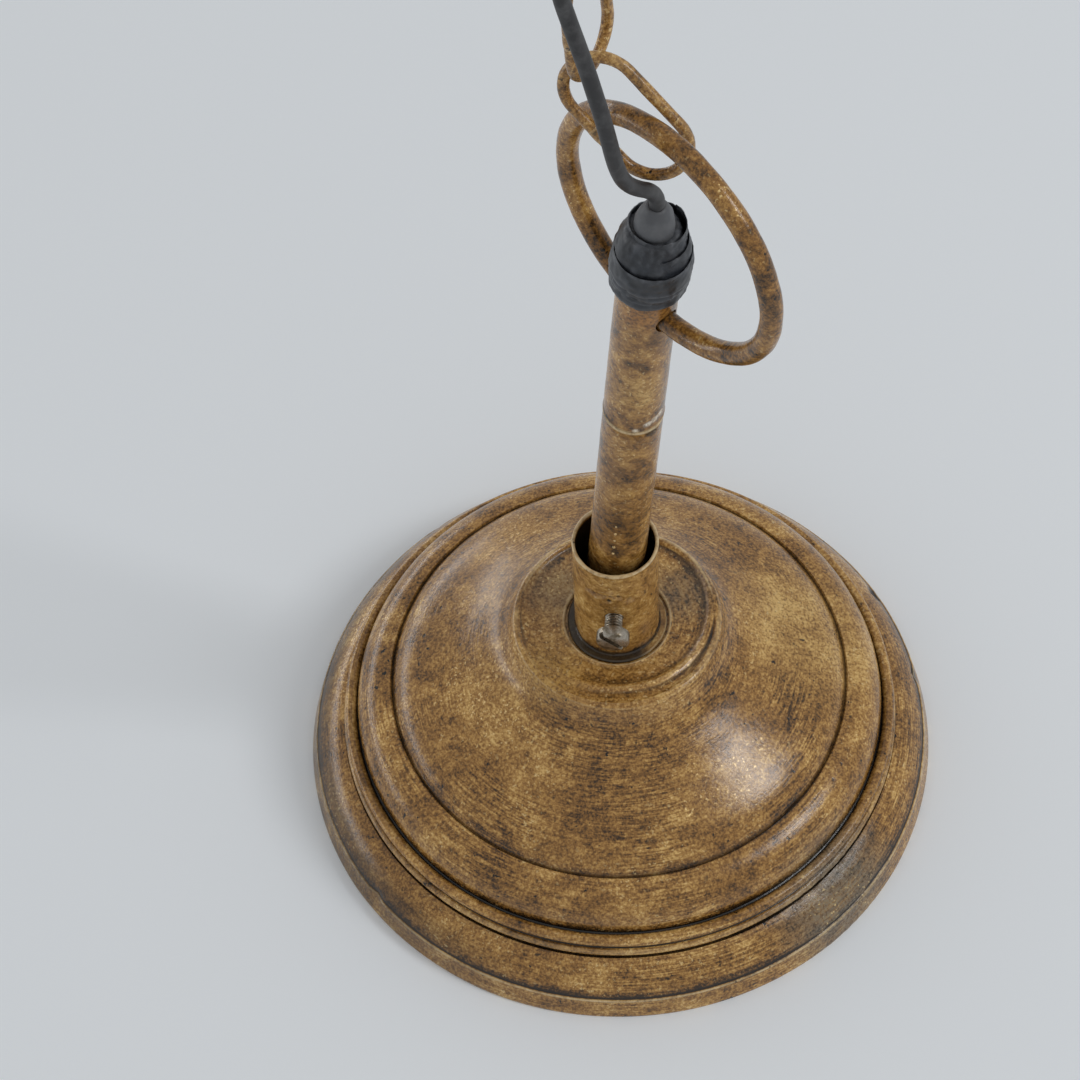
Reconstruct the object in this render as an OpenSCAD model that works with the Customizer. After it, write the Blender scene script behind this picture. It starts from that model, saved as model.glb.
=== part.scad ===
// Brass pendant lamp: a spun bell shade with a collar and set screw, a two-piece stem with a
// small-screw lampholder on its lower end, a pull ring through the stem's top, and the chain,
// hook and cord that it hangs by. It stands on its rim, as it does when it is taken down.
// Millimetres. Z points up and is 0 at the rim's foot; X is to the right seen from the set screw.

/* [Shade] */
// Radius of the shade at the foot of its rim band
rim_r = 72.8; // [68:0.1:80]
// Height of the upright band round the rim
band_h = 5.6; // [3:0.1:8]
// Inward lean of the band, foot to top
band_lean = 1.3; // [0.5:0.1:2.5]
// Height of the shade's top plateau
plateau_z = 55.3; // [50:0.1:60]
// Radius of the plateau's raised edge
plateau_r = 23.6; // [21:0.1:27]
// Radius of the hole that the collar stands in
collar_hole_r = 12.3; // [11.8:0.1:14]
// Thickness of the spun brass sheet
sheet_t = 1.2; // [0.8:0.1:1.4]

/* [Mouldings] */
// Radius at the foot of the bell-shaped cone
cone_foot_r = 52.2; // [49:0.1:54]
// Height of the cone's foot above the band
cone_foot_h = 23.8; // [22:0.1:26]
// Radius at the groove between the round moulding and the bead
bead_groove_r = 61.1; // [60:0.1:62.5]
// Height of that groove above the band
bead_groove_h = 13.2; // [12.5:0.1:14]
// Radius of the larger bead's section
bead_r = 1.35; // [1:0.05:1.6]
// Radius of the smaller bead's section
fillet_bead_r = 1.05; // [0.8:0.05:1.3]

/* [Collar] */
// Outer radius of the collar tube
collar_r = 9.5; // [9:0.1:10.2]
// Wall of the collar tube
collar_wall = 0.7; // [0.5:0.05:0.75]
// Height of the collar's mouth above the plateau
collar_h = 32.1; // [26:0.1:40]
// Radius of the shoulder that hides in the plateau's hole
shoulder_r = 11.3; // [11:0.1:11.6]
// Radius of the plate soldered under the plateau
plate_r = 20; // [16:0.5:21]
// Thickness of that plate
plate_t = 1.5; // [1:0.1:1.6]
// Radius of the ring nut on the collar's foot
ring_nut_r = 13; // [12:0.5:15]
// Height of the ring nut
ring_nut_h = 2.1; // [1.6:0.1:2.2]

/* [Set screw] */
// Radius of the screw's thread
screw_r = 2.0; // [1.5:0.1:2.5]
// Radius of the screw's head
screw_head_r = 3.7; // [3:0.1:4.5]
// Height of the head
screw_head_h = 2.6; // [2:0.1:3.5]
// Distance from the collar's axis to the head's outer face
screw_reach = 16; // [14:0.1:19]
// Height of the screw above the plateau
screw_h = 15.2; // [8:0.1:22]
// Turn of the screw round the collar
screw_turn = -6; // [-30:1:30]
// Running clearance of the thread in its hole
screw_fit = 0.05; // [0.02:0.01:0.1]

/* [Stem] */
// Outer radius of the stem tube
stem_r = 6.35; // [6:0.05:6.6]
// Wall of the stem tube
stem_wall = 1.0; // [0.8:0.1:1.2]
// Lean of the stem to the right in its loose collar
lean_right = 4; // [3:0.1:4.2]
// Lean of the stem to the front
lean_front = 2; // [0.5:0.1:2.2]
// Offset of the stem to the right at the collar's mouth
mouth_right = 0.7; // [0.6:0.05:1]
// Offset of the stem to the front at the collar's mouth
mouth_front = 0.15; // [0:0.05:0.4]
// Length of the stem tube above the mouth
stem_up = 111; // [106:0.5:111.5]
// Length of the stem tube below the mouth
stem_down = 50; // [48:0.5:50.5]
// Distance from the mouth up to the seam between the two tubes
seam_up = 54.5; // [30:0.5:60]
// Length of the inner sleeve that joins the tubes
sleeve_len = 24; // [16:1:40]
// Wall of that sleeve
sleeve_wall = 0.9; // [0.7:0.1:1.2]
// Distance from the mouth up to the cross hole
hole_up = 93.5; // [90:0.1:98]
// Radius of the cross hole that the pull ring runs in
hole_r = 2.8; // [2.7:0.05:3.2]

/* [Ring and chain] */
// Radius of the pull ring to the middle of its rod
ring_r = 28; // [26:0.5:32]
// Radius of the ring's rod
rod_r = 2.3; // [1.9:0.1:2.35]
// Length of a chain link between the middles of its ends
link_len = 29; // [28.5:0.5:30]
// Width of a chain link between the middles of its sides
link_w = 14.8; // [14.6:0.1:15.6]
// Radius of the link's wire
wire_r = 1.2; // [0.9:0.05:1.25]
// Radius of the hook's bend to the middle of its wire
hook_r = 7; // [6:0.5:8]
// Radius of the hook's wire
hook_wire_r = 1.6; // [1.2:0.1:1.7]
// Radius of the hook's threaded shank
shank_r = 2.5; // [2:0.1:3]
// Length of the hook's threaded shank
shank_len = 16; // [10:0.5:25]

/* [Lampholder] */
// Inner radius of the screw shell, for the small lamp cap
socket_r = 7.0; // [6.95:0.05:7.2]
// Depth of the screw shell
socket_depth = 18; // [15:0.5:18.5]
// Outer radius of the lampholder's skirt
holder_r = 14; // [13.5:0.1:15]
// Wall of the lampholder's cap and skirt
holder_wall = 0.8; // [0.6:0.1:1]
// Height of the cap, from its neck to its rim
cap_h = 14; // [13:0.5:15]
// Thickness of the porcelain insert
insert_t = 6.5; // [6:0.5:7]
// Across the flats of the stem's lock nut
lock_nut_af = 17; // [16:0.5:19]
// Height of the lock nut
lock_nut_h = 3; // [2.5:0.1:3.5]

/* [Cord] */
// Radius of the cord's outer sheath
cord_r = 1.6; // [1.3:0.05:1.7]
// Radius of each insulated wire inside the stem
core_r = 0.85; // [0.7:0.05:0.9]
// Largest radius of the tape wound round the stem's top
tape_r = 7.9; // [7.4:0.1:8.3]
// Distance from the mouth up to the tape's lower edge
tape_low = 98.4; // [98:0.1:100]

/* [Hidden] */

$fn = 72;
eps = 0.01;
snug = 0.03;           // clearance between pieces of one body
turn_steps = 10;       // points along each curve of an outline

mouth_z = plateau_z + collar_h;
edge_r = rim_r - band_lean;
stem_bore_r = stem_r - stem_wall;
screw_z = plateau_z + screw_h;

// Outline helpers: points as [radius, height]
function arc(c, r, a0, a1, n = turn_steps) =
    [for (i = [0:n]) let (a = a0 + (a1 - a0) * i / n) [c[0] + r * cos(a), c[1] + r * sin(a)]];
function curve(p, n = turn_steps) =
    [for (i = [0:n]) let (t = i / n, u = 1 - t)
        u*u*u * p[0] + 3*u*u*t * p[1] + 3*u*t*t * p[2] + t*t*t * p[3]];
function unit(v) = v / norm(v);
function left_of(v) = [-v[1], v[0]];
function slope(pts, i) = unit(pts[min(i + 1, len(pts) - 1)] - pts[max(i - 1, 0)]);
function shifted(pts, d) = [for (i = [0:len(pts) - 1]) pts[i] + d * left_of(slope(pts, i))];
function backwards(pts) = [for (i = [len(pts) - 1:-1:0]) pts[i]];

// Curves of the shade's outer face, each from low to high
foot_z = band_h + cone_foot_h;
groove_z = band_h + bead_groove_h;
lip_in_r = bead_groove_r + 2 * bead_r + 0.8;
lip_in_z = groove_z - 5.5;
lip_curve = curve([[edge_r - 0.2, band_h + 0.3], [edge_r - 1.3, band_h + 3.1],
                   [lip_in_r + 2.6, lip_in_z - 0.9], [lip_in_r, lip_in_z]]);
round_curve = curve([[bead_groove_r - 0.3, groove_z - 0.2], [bead_groove_r + 0.6, groove_z + 4.2],
                     [cone_foot_r + 6.2, foot_z - 0.9], [cone_foot_r + 0.7, foot_z + 0.1]]);
neck_z = plateau_z - 1.4;
waist_r = plateau_r + 10.4;
waist_z = foot_z + 0.52 * (neck_z - foot_z);
bulge_curve = curve([[cone_foot_r - 0.2, foot_z + 0.1], [cone_foot_r - 2.6, foot_z + 5.6],
                     [waist_r + 7.4, waist_z - 5.2], [waist_r, waist_z]], 14);
neck_curve = curve([[waist_r, waist_z], [waist_r - 5.2, waist_z + 3.7],
                    [plateau_r + 1.4, neck_z - 6.2], [plateau_r + 0.3, neck_z]], 12);

module spin(pts) rotate_extrude() polygon(pts);

module shade_outline() {
    outer = concat(
        [[rim_r, 0], [rim_r + 0.05, 0.9]],
        arc([edge_r - 0.25, band_h - 0.35], 0.6, 0, 80, 4),
        lip_curve,
        [[lip_in_r - 0.35, lip_in_z - 0.35], [lip_in_r - 0.6, lip_in_z + 0.1]],
        arc([lip_in_r - 1.15, lip_in_z + 1.5], fillet_bead_r, -40, 100, 7),
        [[lip_in_r - 1.7, lip_in_z + 2.9]],
        arc([bead_groove_r + bead_r + 0.2, groove_z - 0.5], bead_r, -20, 150, 9),
        [[bead_groove_r, groove_z - 0.35]],
        round_curve,
        [[cone_foot_r + 0.25, foot_z - 0.4]],
        bulge_curve, neck_curve,
        arc([plateau_r - 0.9, plateau_z - 0.75], 1.0, 10, 120, 6),
        [[plateau_r - 2.8, plateau_z - 0.4], [collar_hole_r + 1.2, plateau_z - 0.35]],
        arc([collar_hole_r + 0.5, plateau_z - 0.6], 0.5, 80, 180, 4));
    inner = concat(
        [[rim_r - sheet_t, 0], [edge_r - sheet_t, band_h - 0.6]],
        shifted(lip_curve, sheet_t),
        [[lip_in_r - 2.9, groove_z - 1.6]],
        shifted(round_curve, sheet_t),
        shifted(bulge_curve, sheet_t), shifted(neck_curve, sheet_t),
        [[plateau_r - 1.0, plate_top_z], [collar_hole_r, plate_top_z]]);
    spin(concat(outer, backwards(inner)));
}

plate_top_z = plateau_z - 0.35 - sheet_t;
plate_low_z = plate_top_z - plate_t;
nut_low_z = plate_low_z - ring_nut_h;
collar_low_z = nut_low_z - 0.4;
shoulder_h = 1.1;

// Places of the moving pieces
module on_stem() translate([mouth_right, -mouth_front, mouth_z]) rotate([lean_front, lean_right, 0])
    children();
hole_az = -49;         // turn of the cross hole round the stem
hole_tilt = 8;         // the hand-drilled hole runs this much off square
ring_lean = 0.7;       // the ring's lean about the hole at rest
wall_r = stem_r - stem_wall / 2;
bow = ring_r - sqrt(ring_r * ring_r - wall_r * wall_r);    // the rod's bow where it goes through
module on_hole() on_stem() translate([0, 0, hole_up]) rotate([0, 0, hole_az])
    rotate([0, hole_tilt, 0]) rotate([ring_lean, 0, 0]) children();
module on_ring_rod(a) on_hole() translate([0, 0, ring_r]) rotate([0, a, 0])
    translate([0, 0, ring_r]) children();
link_1_at = -36.5;     // place of the first link round the ring
module on_link_1() on_ring_rod(link_1_at) rotate([2, 26, -144]) children();
link_bow = link_w / 2;                     // radius of a link's round ends
link_leg = (link_len - link_w) / 2;        // half the length of its straight sides
hang_1 = 20;           // where the second link hangs round the first one's end
hang_2 = 32.5;         // where the first link's wire lies in the second one's end
slack = 1;             // room between the two wires there
hang_r = link_bow - 2 * wire_r - slack;
module on_link_2() on_link_1()
    translate([-link_bow * sin(hang_1), 0, link_leg + link_bow * cos(hang_1)]) rotate([-45, 3, 69])
    translate([-hang_r * sin(hang_2), 0, link_leg + hang_r * cos(hang_2)]) children();
hook_low = link_len / 2 - wire_r - hook_wire_r - 0.4;
module on_hook() on_link_2() translate([0, 0, hook_low + hook_r]) rotate([0, 0, 90]) children();

// Shade, backing plate and collar
module shade() color([0.48, 0.36, 0.2]) shade_outline();

module backing_plate() color([0.5, 0.38, 0.22]) translate([0, 0, plate_low_z]) difference() {
    cylinder(r = plate_r, h = plate_t);
    translate([0, 0, -eps]) cylinder(r = collar_r + snug, h = plate_t + 2 * eps);
}

module collar() color([0.6, 0.44, 0.26]) difference() {
    union() {
        translate([0, 0, collar_low_z]) cylinder(r = collar_r, h = mouth_z - 0.3 - collar_low_z);
        translate([0, 0, mouth_z - 0.3]) cylinder(r1 = collar_r, r2 = collar_r - 0.25, h = 0.3);
        translate([0, 0, plate_top_z]) cylinder(r = shoulder_r, h = shoulder_h);
    }
    translate([0, 0, collar_low_z - 1]) cylinder(r = collar_r - collar_wall, h = mouth_z);
    screw_place() cylinder(r = screw_r + screw_fit, h = 2 * collar_r);
}

module collar_ring_nut() color([0.62, 0.5, 0.28]) difference() {
    translate([0, 0, nut_low_z]) cylinder(r = ring_nut_r, h = ring_nut_h);
    translate([0, 0, nut_low_z - eps]) cylinder(r = collar_r + snug, h = ring_nut_h + 2 * eps);
    for (a = [45:90:315]) rotate(a) translate([ring_nut_r, 0, nut_low_z + ring_nut_h / 2])
        cube([2.4, 2.6, ring_nut_h + 1], center = true);
}

module screw_place() translate([0, 0, screw_z]) rotate([0, 0, screw_turn]) rotate([90, 0, 0]) children();
screw_tip = stem_r - (mouth_z - screw_z) * tan(lean_front) + mouth_front + 0.2;
screw_chamfer = 0.5;
screw_slot_w = 1.2;
screw_slot_d = 1.1;
screw_slot_turn = -45;

module set_screw() color([0.78, 0.78, 0.8]) screw_place() difference() {
    union() {
        translate([0, 0, screw_tip])
            cylinder(r1 = screw_r - screw_chamfer, r2 = screw_r, h = screw_chamfer);
        translate([0, 0, screw_tip + screw_chamfer])
            cylinder(r = screw_r, h = screw_reach - screw_head_h - screw_tip - 0.4);
        translate([0, 0, screw_reach - screw_head_h])
            cylinder(r = screw_head_r, h = screw_head_h - screw_chamfer);
        translate([0, 0, screw_reach - screw_chamfer])
            cylinder(r1 = screw_head_r, r2 = screw_head_r - screw_chamfer, h = screw_chamfer);
    }
    rotate(screw_slot_turn) translate([-2 * screw_head_r, -screw_slot_w / 2, screw_reach - screw_slot_d])
        cube([4 * screw_head_r, screw_slot_w, screw_head_h]);
}

// Stem
module tube(r, wall, z0, z1) difference() {
    translate([0, 0, z0]) cylinder(r = r, h = z1 - z0);
    translate([0, 0, z0 - eps]) cylinder(r = r - wall, h = z1 - z0 + 2 * eps);
}

module lower_stem() color([0.55, 0.4, 0.24]) on_stem() tube(stem_r, stem_wall, -stem_down, seam_up - 0.1);

module upper_stem() color([0.56, 0.42, 0.25]) difference() {
    on_stem() tube(stem_r, stem_wall, seam_up + 0.1, stem_up);
    on_hole() translate([0, 0, bow]) rotate([0, 90, 0]) cylinder(r = hole_r, h = 30, center = true);
}

module stem_sleeve() color([0.7, 0.56, 0.32]) on_stem() {
    tube(stem_bore_r - snug, sleeve_wall, seam_up - sleeve_len / 2, seam_up + sleeve_len / 2);
}

module stem_lock_nut() color([0.68, 0.55, 0.3]) on_stem() difference() {
    translate([0, 0, cap_top + snug]) cylinder(r = lock_nut_af / sqrt(3), h = lock_nut_h, $fn = 6);
    cylinder(r = stem_r + snug, h = 3 * stem_down, center = true);
}

module tape_wrap() color([0.12, 0.13, 0.15]) on_stem() spin(concat(
    [[stem_r + snug, tape_low], [tape_r - 1.2, tape_low]],
    curve([[tape_r - 0.4, tape_low + 0.5], [tape_r, tape_low + 2], [tape_r, tape_low + 4],
           [tape_r - 0.1, tape_low + 6]], 5),
    curve([[tape_r - 0.4, tape_low + 9], [tape_r - 0.5, tape_low + 15], [tape_r - 2.2, tape_low + 16],
           [tape_neck_r + 0.4, tape_low + 17.5]], 6),
    arc([tape_neck_r - 2, tape_low + 20.4], 2.4, -60, 80, 6),
    [[boot_r, boot_low], [core_lay_r + core_r + 0.3, boot_low],
     [core_lay_r + core_r + 0.3, stem_up + 0.1], [stem_r + snug, stem_up + 0.1]]));
tape_neck_r = 4.6;
boot_low = tape_low + 23;
boot_r = 3.1;
boot_h = 5;
cord_in = 0.5;         // how far up the boot the wires end and the cord begins
core_lay_r = 1.3;      // where the two wires lie in the tape's neck

module cord_boot() color([0.42, 0.43, 0.45]) on_stem() difference() {
    translate([0, 0, boot_low]) cylinder(r1 = boot_r, r2 = cord_r + 0.35, h = boot_h);
    translate([0, 0, boot_low - eps]) cylinder(r = cord_r, h = boot_h + 1);
    translate([0, 0, boot_low - eps]) cylinder(r = core_lay_r + core_r + 0.15, h = cord_in);
}

// A round tube of the given radius swept along points
function heading(p, i) = unit(p[min(i + 1, len(p) - 1)] - p[max(i - 1, 0)]);
module sweep(p, r, sides = 8) {
    side = [1, 0, 0];
    rings = [for (i = [0:len(p) - 1]) let (h = heading(p, i), u = unit(cross(h, side)), v = cross(h, u))
        for (k = [0:sides - 1]) p[i] + r * (cos(360 * k / sides) * u + sin(360 * k / sides) * v)];
    last = (len(p) - 1) * sides;
    polyhedron(rings, concat(
        [[for (k = [0:sides - 1]) k]],
        [for (i = [0:len(p) - 2], k = [0:sides - 1]) let (a = i * sides + k, b = i * sides + (k + 1) % sides)
            [a, a + sides, b + sides, b]],
        [[for (k = [sides - 1:-1:0]) last + k]]));
}

// Route of the cord from its boot, past the ring and chain, to its connector
cord_path = [
    [9.2, -4.4, 209.0], [9.5, -4.6, 213.0], [9.5, -4.8, 215.2], [9.0, -5.3, 217.7], [7.8, -6.3, 220.3],
    [6.1, -7.6, 222.7], [4.3, -8.9, 225.6], [2.9, -10.1, 229.1], [1.9, -11.1, 233.3],
    [1.1, -11.7, 238.0], [0.3, -11.9, 243.5], [-0.7, -11.6, 249.5], [-1.9, -11.0, 255.5],
    [-3.2, -10.1, 261.5], [-4.7, -9.0, 267.6], [-6.1, -8.0, 273.1], [-7.3, -7.3, 278.5],
    [-8.0, -7.0, 283.3], [-8.3, -6.9, 287.0], [-8.3, -6.9, 290.0]
];

module cord() color([0.2, 0.2, 0.22]) sweep(cord_path, cord_r);

// Insulated wires from the tape's neck to the terminals, in the stem's own frame
wire_side = 4.15;      // how far a wire keeps from the stem's axis where it passes the ring
function wire_path(s) = let (a = hole_az + 90, c = cos(a), q = sin(a)) [
    [s * core_lay_r * c, s * core_lay_r * q, boot_low + cord_in - 0.1],
    [s * core_lay_r * c, s * core_lay_r * q, stem_up - 1],
    [s * 2.2 * c, s * 2.2 * q, stem_up - 4],
    [s * 3.5 * c, s * 3.5 * q, stem_up - 9],
    [s * wire_side * c, s * wire_side * q, hole_up + 6],
    [s * wire_side * c, s * wire_side * q, hole_up - 8],
    [s * 3.0 * c, s * 3.0 * q, seam_up + sleeve_len / 2 + 8],
    [s * 3.0 * c, s * 3.0 * q, seam_up - sleeve_len / 2 - 8],
    [s * 3.4, 0, 0],
    [s * 3.4, 0, -stem_down],
    [s * 4.2, 0, -stem_down - 1.8],
    [s * (terminal_x - 0.4), 0, insert_top + block_h + 1.5],
    [s * terminal_x, 0, insert_top + block_h + 0.5],
    [s * terminal_x, 0, insert_top + block_h - 1.6]
];
module live_wire() color([0.45, 0.25, 0.12]) on_stem() sweep(wire_path(1), core_r);
module neutral_wire() color([0.15, 0.3, 0.6]) on_stem() sweep(wire_path(-1), core_r);

// Pull ring, links and hook
module bent_rod(r, rod, from, to) rotate([90, 0, 0]) rotate([0, 0, from])
    rotate_extrude(angle = to - from) translate([r, 0]) circle(r = rod, $fn = 32);

module pull_ring() color([0.5, 0.36, 0.16]) on_hole() translate([0, 0, ring_r]) rotate([90, 0, 0])
    rotate_extrude($fn = 96) translate([ring_r, 0]) circle(r = rod_r, $fn = 36);

module chain_link() {
    for (s = [-1, 1]) {
        translate([s * link_bow, 0, -link_leg]) cylinder(r = wire_r, h = 2 * link_leg, $fn = 32);
        translate([0, 0, s * link_leg]) bent_rod(link_bow, wire_r, s > 0 ? 0 : 180, s > 0 ? 180 : 360);
    }
}
module chain_link_1() color([0.52, 0.38, 0.2]) on_link_1() chain_link();
module chain_link_2() color([0.5, 0.37, 0.2]) on_link_2() chain_link();

crook = 20;            // where the hook's bend turns back, from its top
crook_r = hook_r * sin(crook) / (1 - sin(crook));
crook_z = (hook_r + crook_r) * cos(crook);
weld = 2;              // angle by which the hook's stretches run into each other
hook_neck = 4;         // length of plain wire under the flange
flange_r = 5;
flange_h = 1.5;
module ceiling_hook() color([0.6, 0.48, 0.28]) on_hook() {
    bent_rod(hook_r, hook_wire_r, 90 + crook, 385);
    translate([-crook_r, 0, crook_z]) bent_rod(crook_r, hook_wire_r - 0.01, -90 + crook - weld, weld);
    translate([0, 0, crook_z]) cylinder(r = hook_wire_r, h = hook_neck + 0.2, $fn = 36);
    translate([0, 0, crook_z + hook_neck]) {
        cylinder(r = flange_r, h = flange_h);
        translate([0, 0, flange_h]) cylinder(r = shank_r, h = shank_len - 1, $fn = 48);
        translate([0, 0, flange_h + shank_len - 1])
            cylinder(r1 = shank_r, r2 = shank_r - 0.8, h = 1, $fn = 48);
    }
}

// Lampholder, hung below the stem
cap_top = -stem_down + 3;
cap_low = cap_top - cap_h;
insert_top = cap_top - 10.5;
insert_low = insert_top - insert_t;
insert_r = holder_r - holder_wall - snug;
shell_low = insert_low - socket_depth;
shell_wall = 0.45;
shell_flange = 1.5;    // thickness of the screw shell's turned-in upper end
shell_eye_r = 5.2;     // radius of the hole in it
spacer_h = 3;
recess_r = 5.6;        // recess under the insert, where the spring lies
recess_h = 3.2;
terminal_x = 6.6;      // distance of each terminal from the axis
block_w = 4;           // a terminal block's width, depth and height
block_d = 6.4;
block_h = 3.6;
leg_r = 0.8;           // leg that joins the neutral terminal to the screw shell
clamp_r = 1.0;         // radius of a terminal screw's hole
clamp_head_r = 1.6;
clamp_head_h = 1.2;
rivet_r = 1.5;         // rivet that the centre contact's rod slides in
rivet_head_r = 2.6;
rivet_head_h = 0.8;
contact_r = 3.2;       // disc of the centre contact
contact_t = 1;
contact_rod_r = 1.1;
contact_rod_h = 4;

module lampholder_cap() color([0.62, 0.5, 0.28]) on_stem() spin(concat(
    [[stem_r + snug, cap_top], [stem_r + 2.2, cap_top], [stem_r + 2.2, cap_top - 2.6]],
    curve([[stem_r + 2.6, cap_top - 3], [holder_r - 2.5, cap_top - 3.4],
           [holder_r, cap_top - 5], [holder_r, cap_top - 8]], 8),
    [[holder_r, cap_low], [holder_r - holder_wall, cap_low]],
    [[holder_r - holder_wall, cap_top - 8]],
    curve([[holder_r - holder_wall, cap_top - 7.6], [holder_r - 1.2, cap_top - 5.4],
           [holder_r - 3, cap_top - 4.3], [stem_r + 2.4, cap_top - 3.9]], 6),
    [[stem_r + snug, cap_top - 3.7]]));

module porcelain_insert() color([0.92, 0.91, 0.87]) on_stem() difference() {
    translate([0, 0, insert_low]) cylinder(r = insert_r, h = insert_t);
    translate([0, 0, insert_low - eps]) cylinder(r = rivet_r + snug, h = insert_t + 1);
    translate([-terminal_x, 0, insert_low - eps]) cylinder(r = leg_r + snug, h = insert_t + 1, $fn = 32);
    translate([0, 0, insert_low - eps]) cylinder(r = recess_r, h = recess_h);
}

// The live terminal has a tab to the rivet, the neutral one a leg to the screw shell
module terminal_blocks() color([0.75, 0.62, 0.34]) on_stem() {
    for (s = [-1, 1]) translate([s * terminal_x, 0, insert_top]) difference() {
        translate([-block_w / 2, -block_d / 2, 0]) cube([block_w, block_d, block_h]);
        translate([0, 0, block_h - 2]) cylinder(r = core_r + 0.05, h = 3, $fn = 32);
        translate([0, 0, block_h / 2]) rotate([90, 0, 0]) cylinder(r = clamp_r, h = block_d, $fn = 24);
    }
    translate([rivet_head_r + snug, -1.2, 0.05 + insert_top])
        cube([terminal_x - block_w / 2 - rivet_head_r, 2.4, 0.6]);
    translate([-terminal_x, 0, insert_low + snug]) cylinder(r = leg_r, h = insert_t + 0.5, $fn = 32);
}

module terminal_screws() color([0.8, 0.8, 0.82]) on_stem() for (s = [-1, 1])
    translate([s * terminal_x, -block_d / 2, insert_top + block_h / 2]) rotate([90, 0, 0]) {
        translate([0, 0, 1 - block_d / 2]) cylinder(r = clamp_r - snug, h = block_d / 2 - 1 + eps, $fn = 24);
        difference() {
            cylinder(r = clamp_head_r, h = clamp_head_h, $fn = 32);
            translate([-2, -0.25, clamp_head_h / 2]) cube([4, 0.5, 1]);
        }
    }

module centre_contact() color([0.8, 0.66, 0.36]) on_stem() {
    translate([0, 0, insert_low - 0.2 - contact_t]) cylinder(r = contact_r, h = contact_t);
    translate([0, 0, insert_low - 0.2 - eps]) cylinder(r = contact_rod_r, h = contact_rod_h, $fn = 32);
}

module contact_spring() color([0.75, 0.75, 0.77]) on_stem() difference() {
    translate([0, 0, insert_low - 0.15]) cylinder(r = 2.2, h = recess_h + 0.1, $fn = 40);
    translate([0, 0, insert_low - 1]) cylinder(r = rivet_r + 0.1, h = recess_h + 3, $fn = 40);
}

module contact_rivet() color([0.75, 0.62, 0.34]) on_stem() difference() {
    union() {
        translate([0, 0, insert_top - 3.9 + eps]) cylinder(r = rivet_r, h = 4.5, $fn = 40);
        translate([0, 0, insert_top]) cylinder(r = rivet_head_r, h = rivet_head_h, $fn = 40);
    }
    translate([0, 0, insert_top - 5]) cylinder(r = contact_rod_r + 0.06, h = 4.6, $fn = 40);
}

module screw_shell() color([0.85, 0.82, 0.76]) on_stem() difference() {
    union() {
        translate([0, 0, shell_low + 0.8]) cylinder(r = socket_r + shell_wall, h = socket_depth - 0.8);
        translate([0, 0, shell_low]) cylinder(r = socket_r + 1.2, h = 0.8);
    }
    translate([0, 0, shell_low - eps]) cylinder(r = socket_r, h = socket_depth - shell_flange + eps);
    translate([0, 0, shell_low - eps]) cylinder(r = shell_eye_r, h = socket_depth + 1);
}

module shell_spacer() color([0.9, 0.89, 0.84]) on_stem() difference() {
    translate([0, 0, shell_low + 0.8 + snug]) cylinder(r = insert_r, h = spacer_h);
    translate([0, 0, shell_low]) cylinder(r = socket_r + shell_wall + snug, h = 2 * spacer_h);
}

module lampholder_skirt() color([0.6, 0.48, 0.27]) on_stem() {
    tube(holder_r, holder_wall, shell_low + 0.4, cap_low - snug);
}

// Connector on the cord's far end, beside the hook
connector_turn = 42;
connector_w = 14;
connector_d = 8;
connector_h = 13;
pole_x = 3.4;          // distance of each of its two brass tubes from the middle
pole_r = 1.9;
pole_low = 3;          // height of the tubes' lower ends
pole_bore_r = 1.1;
pole_screw_z = 10;     // height of the clamp screws
pole_screw_r = 0.8;
pole_head_r = 1.3;
pole_head_h = 1.2;
module connector_place() translate(cord_path[len(cord_path) - 1]) rotate([0, 0, connector_turn]) children();

module cord_connector() color([0.88, 0.87, 0.82]) connector_place() difference() {
    translate([-connector_w / 2, -connector_d / 2, 0]) cube([connector_w, connector_d, connector_h]);
    for (s = [-1, 1]) translate([s * pole_x, 0, 0]) {
        translate([0, 0, pole_low]) cylinder(r = pole_r, h = connector_h, $fn = 36);
        translate([0, 0, pole_screw_z]) rotate([90, 0, 0])
            cylinder(r = pole_head_r + 0.1, h = connector_d, $fn = 30);
    }
}

module connector_tubes() color([0.75, 0.62, 0.34]) connector_place() for (s = [-1, 1])
    translate([s * pole_x, 0, pole_low + eps]) difference() {
        cylinder(r = pole_r - snug, h = connector_h - pole_low - 0.6, $fn = 36);
        translate([0, 0, 1]) cylinder(r = pole_bore_r, h = connector_h, $fn = 30);
        translate([0, 0, pole_screw_z - pole_low]) rotate([90, 0, 0])
            cylinder(r = pole_screw_r + 0.05, h = 2 * pole_r, $fn = 24);
    }

module connector_screws() color([0.8, 0.8, 0.82]) connector_place() for (s = [-1, 1])
    translate([s * pole_x, 0.6 - connector_d / 2, pole_screw_z]) rotate([-90, 0, 0]) difference() {
        union() {
            cylinder(r = pole_head_r, h = pole_head_h, $fn = 30);
            translate([0, 0, pole_head_h - eps]) cylinder(r = pole_screw_r, h = 1.6, $fn = 24);
        }
        translate([-2, -0.2, -1]) cube([4, 0.4, 1.6]);
    }

shade();
backing_plate();
collar();
collar_ring_nut();
set_screw();
lower_stem();
upper_stem();
stem_sleeve();
stem_lock_nut();
tape_wrap();
cord_boot();
cord();
live_wire();
neutral_wire();
pull_ring();
chain_link_1();
chain_link_2();
ceiling_hook();
lampholder_cap();
porcelain_insert();
terminal_blocks();
terminal_screws();
centre_contact();
contact_spring();
contact_rivet();
screw_shell();
shell_spacer();
lampholder_skirt();
cord_connector();
connector_tubes();
connector_screws();
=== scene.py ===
"""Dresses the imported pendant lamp: aged brass, wound tape, cord, porcelain and steel, on a pale floor."""

from math import atan2, cos, pi, radians, sin, sqrt

import bpy
import numpy as np
from bpy.props import FloatProperty, FloatVectorProperty, PointerProperty
from mathutils import Euler, Matrix, Vector


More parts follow.
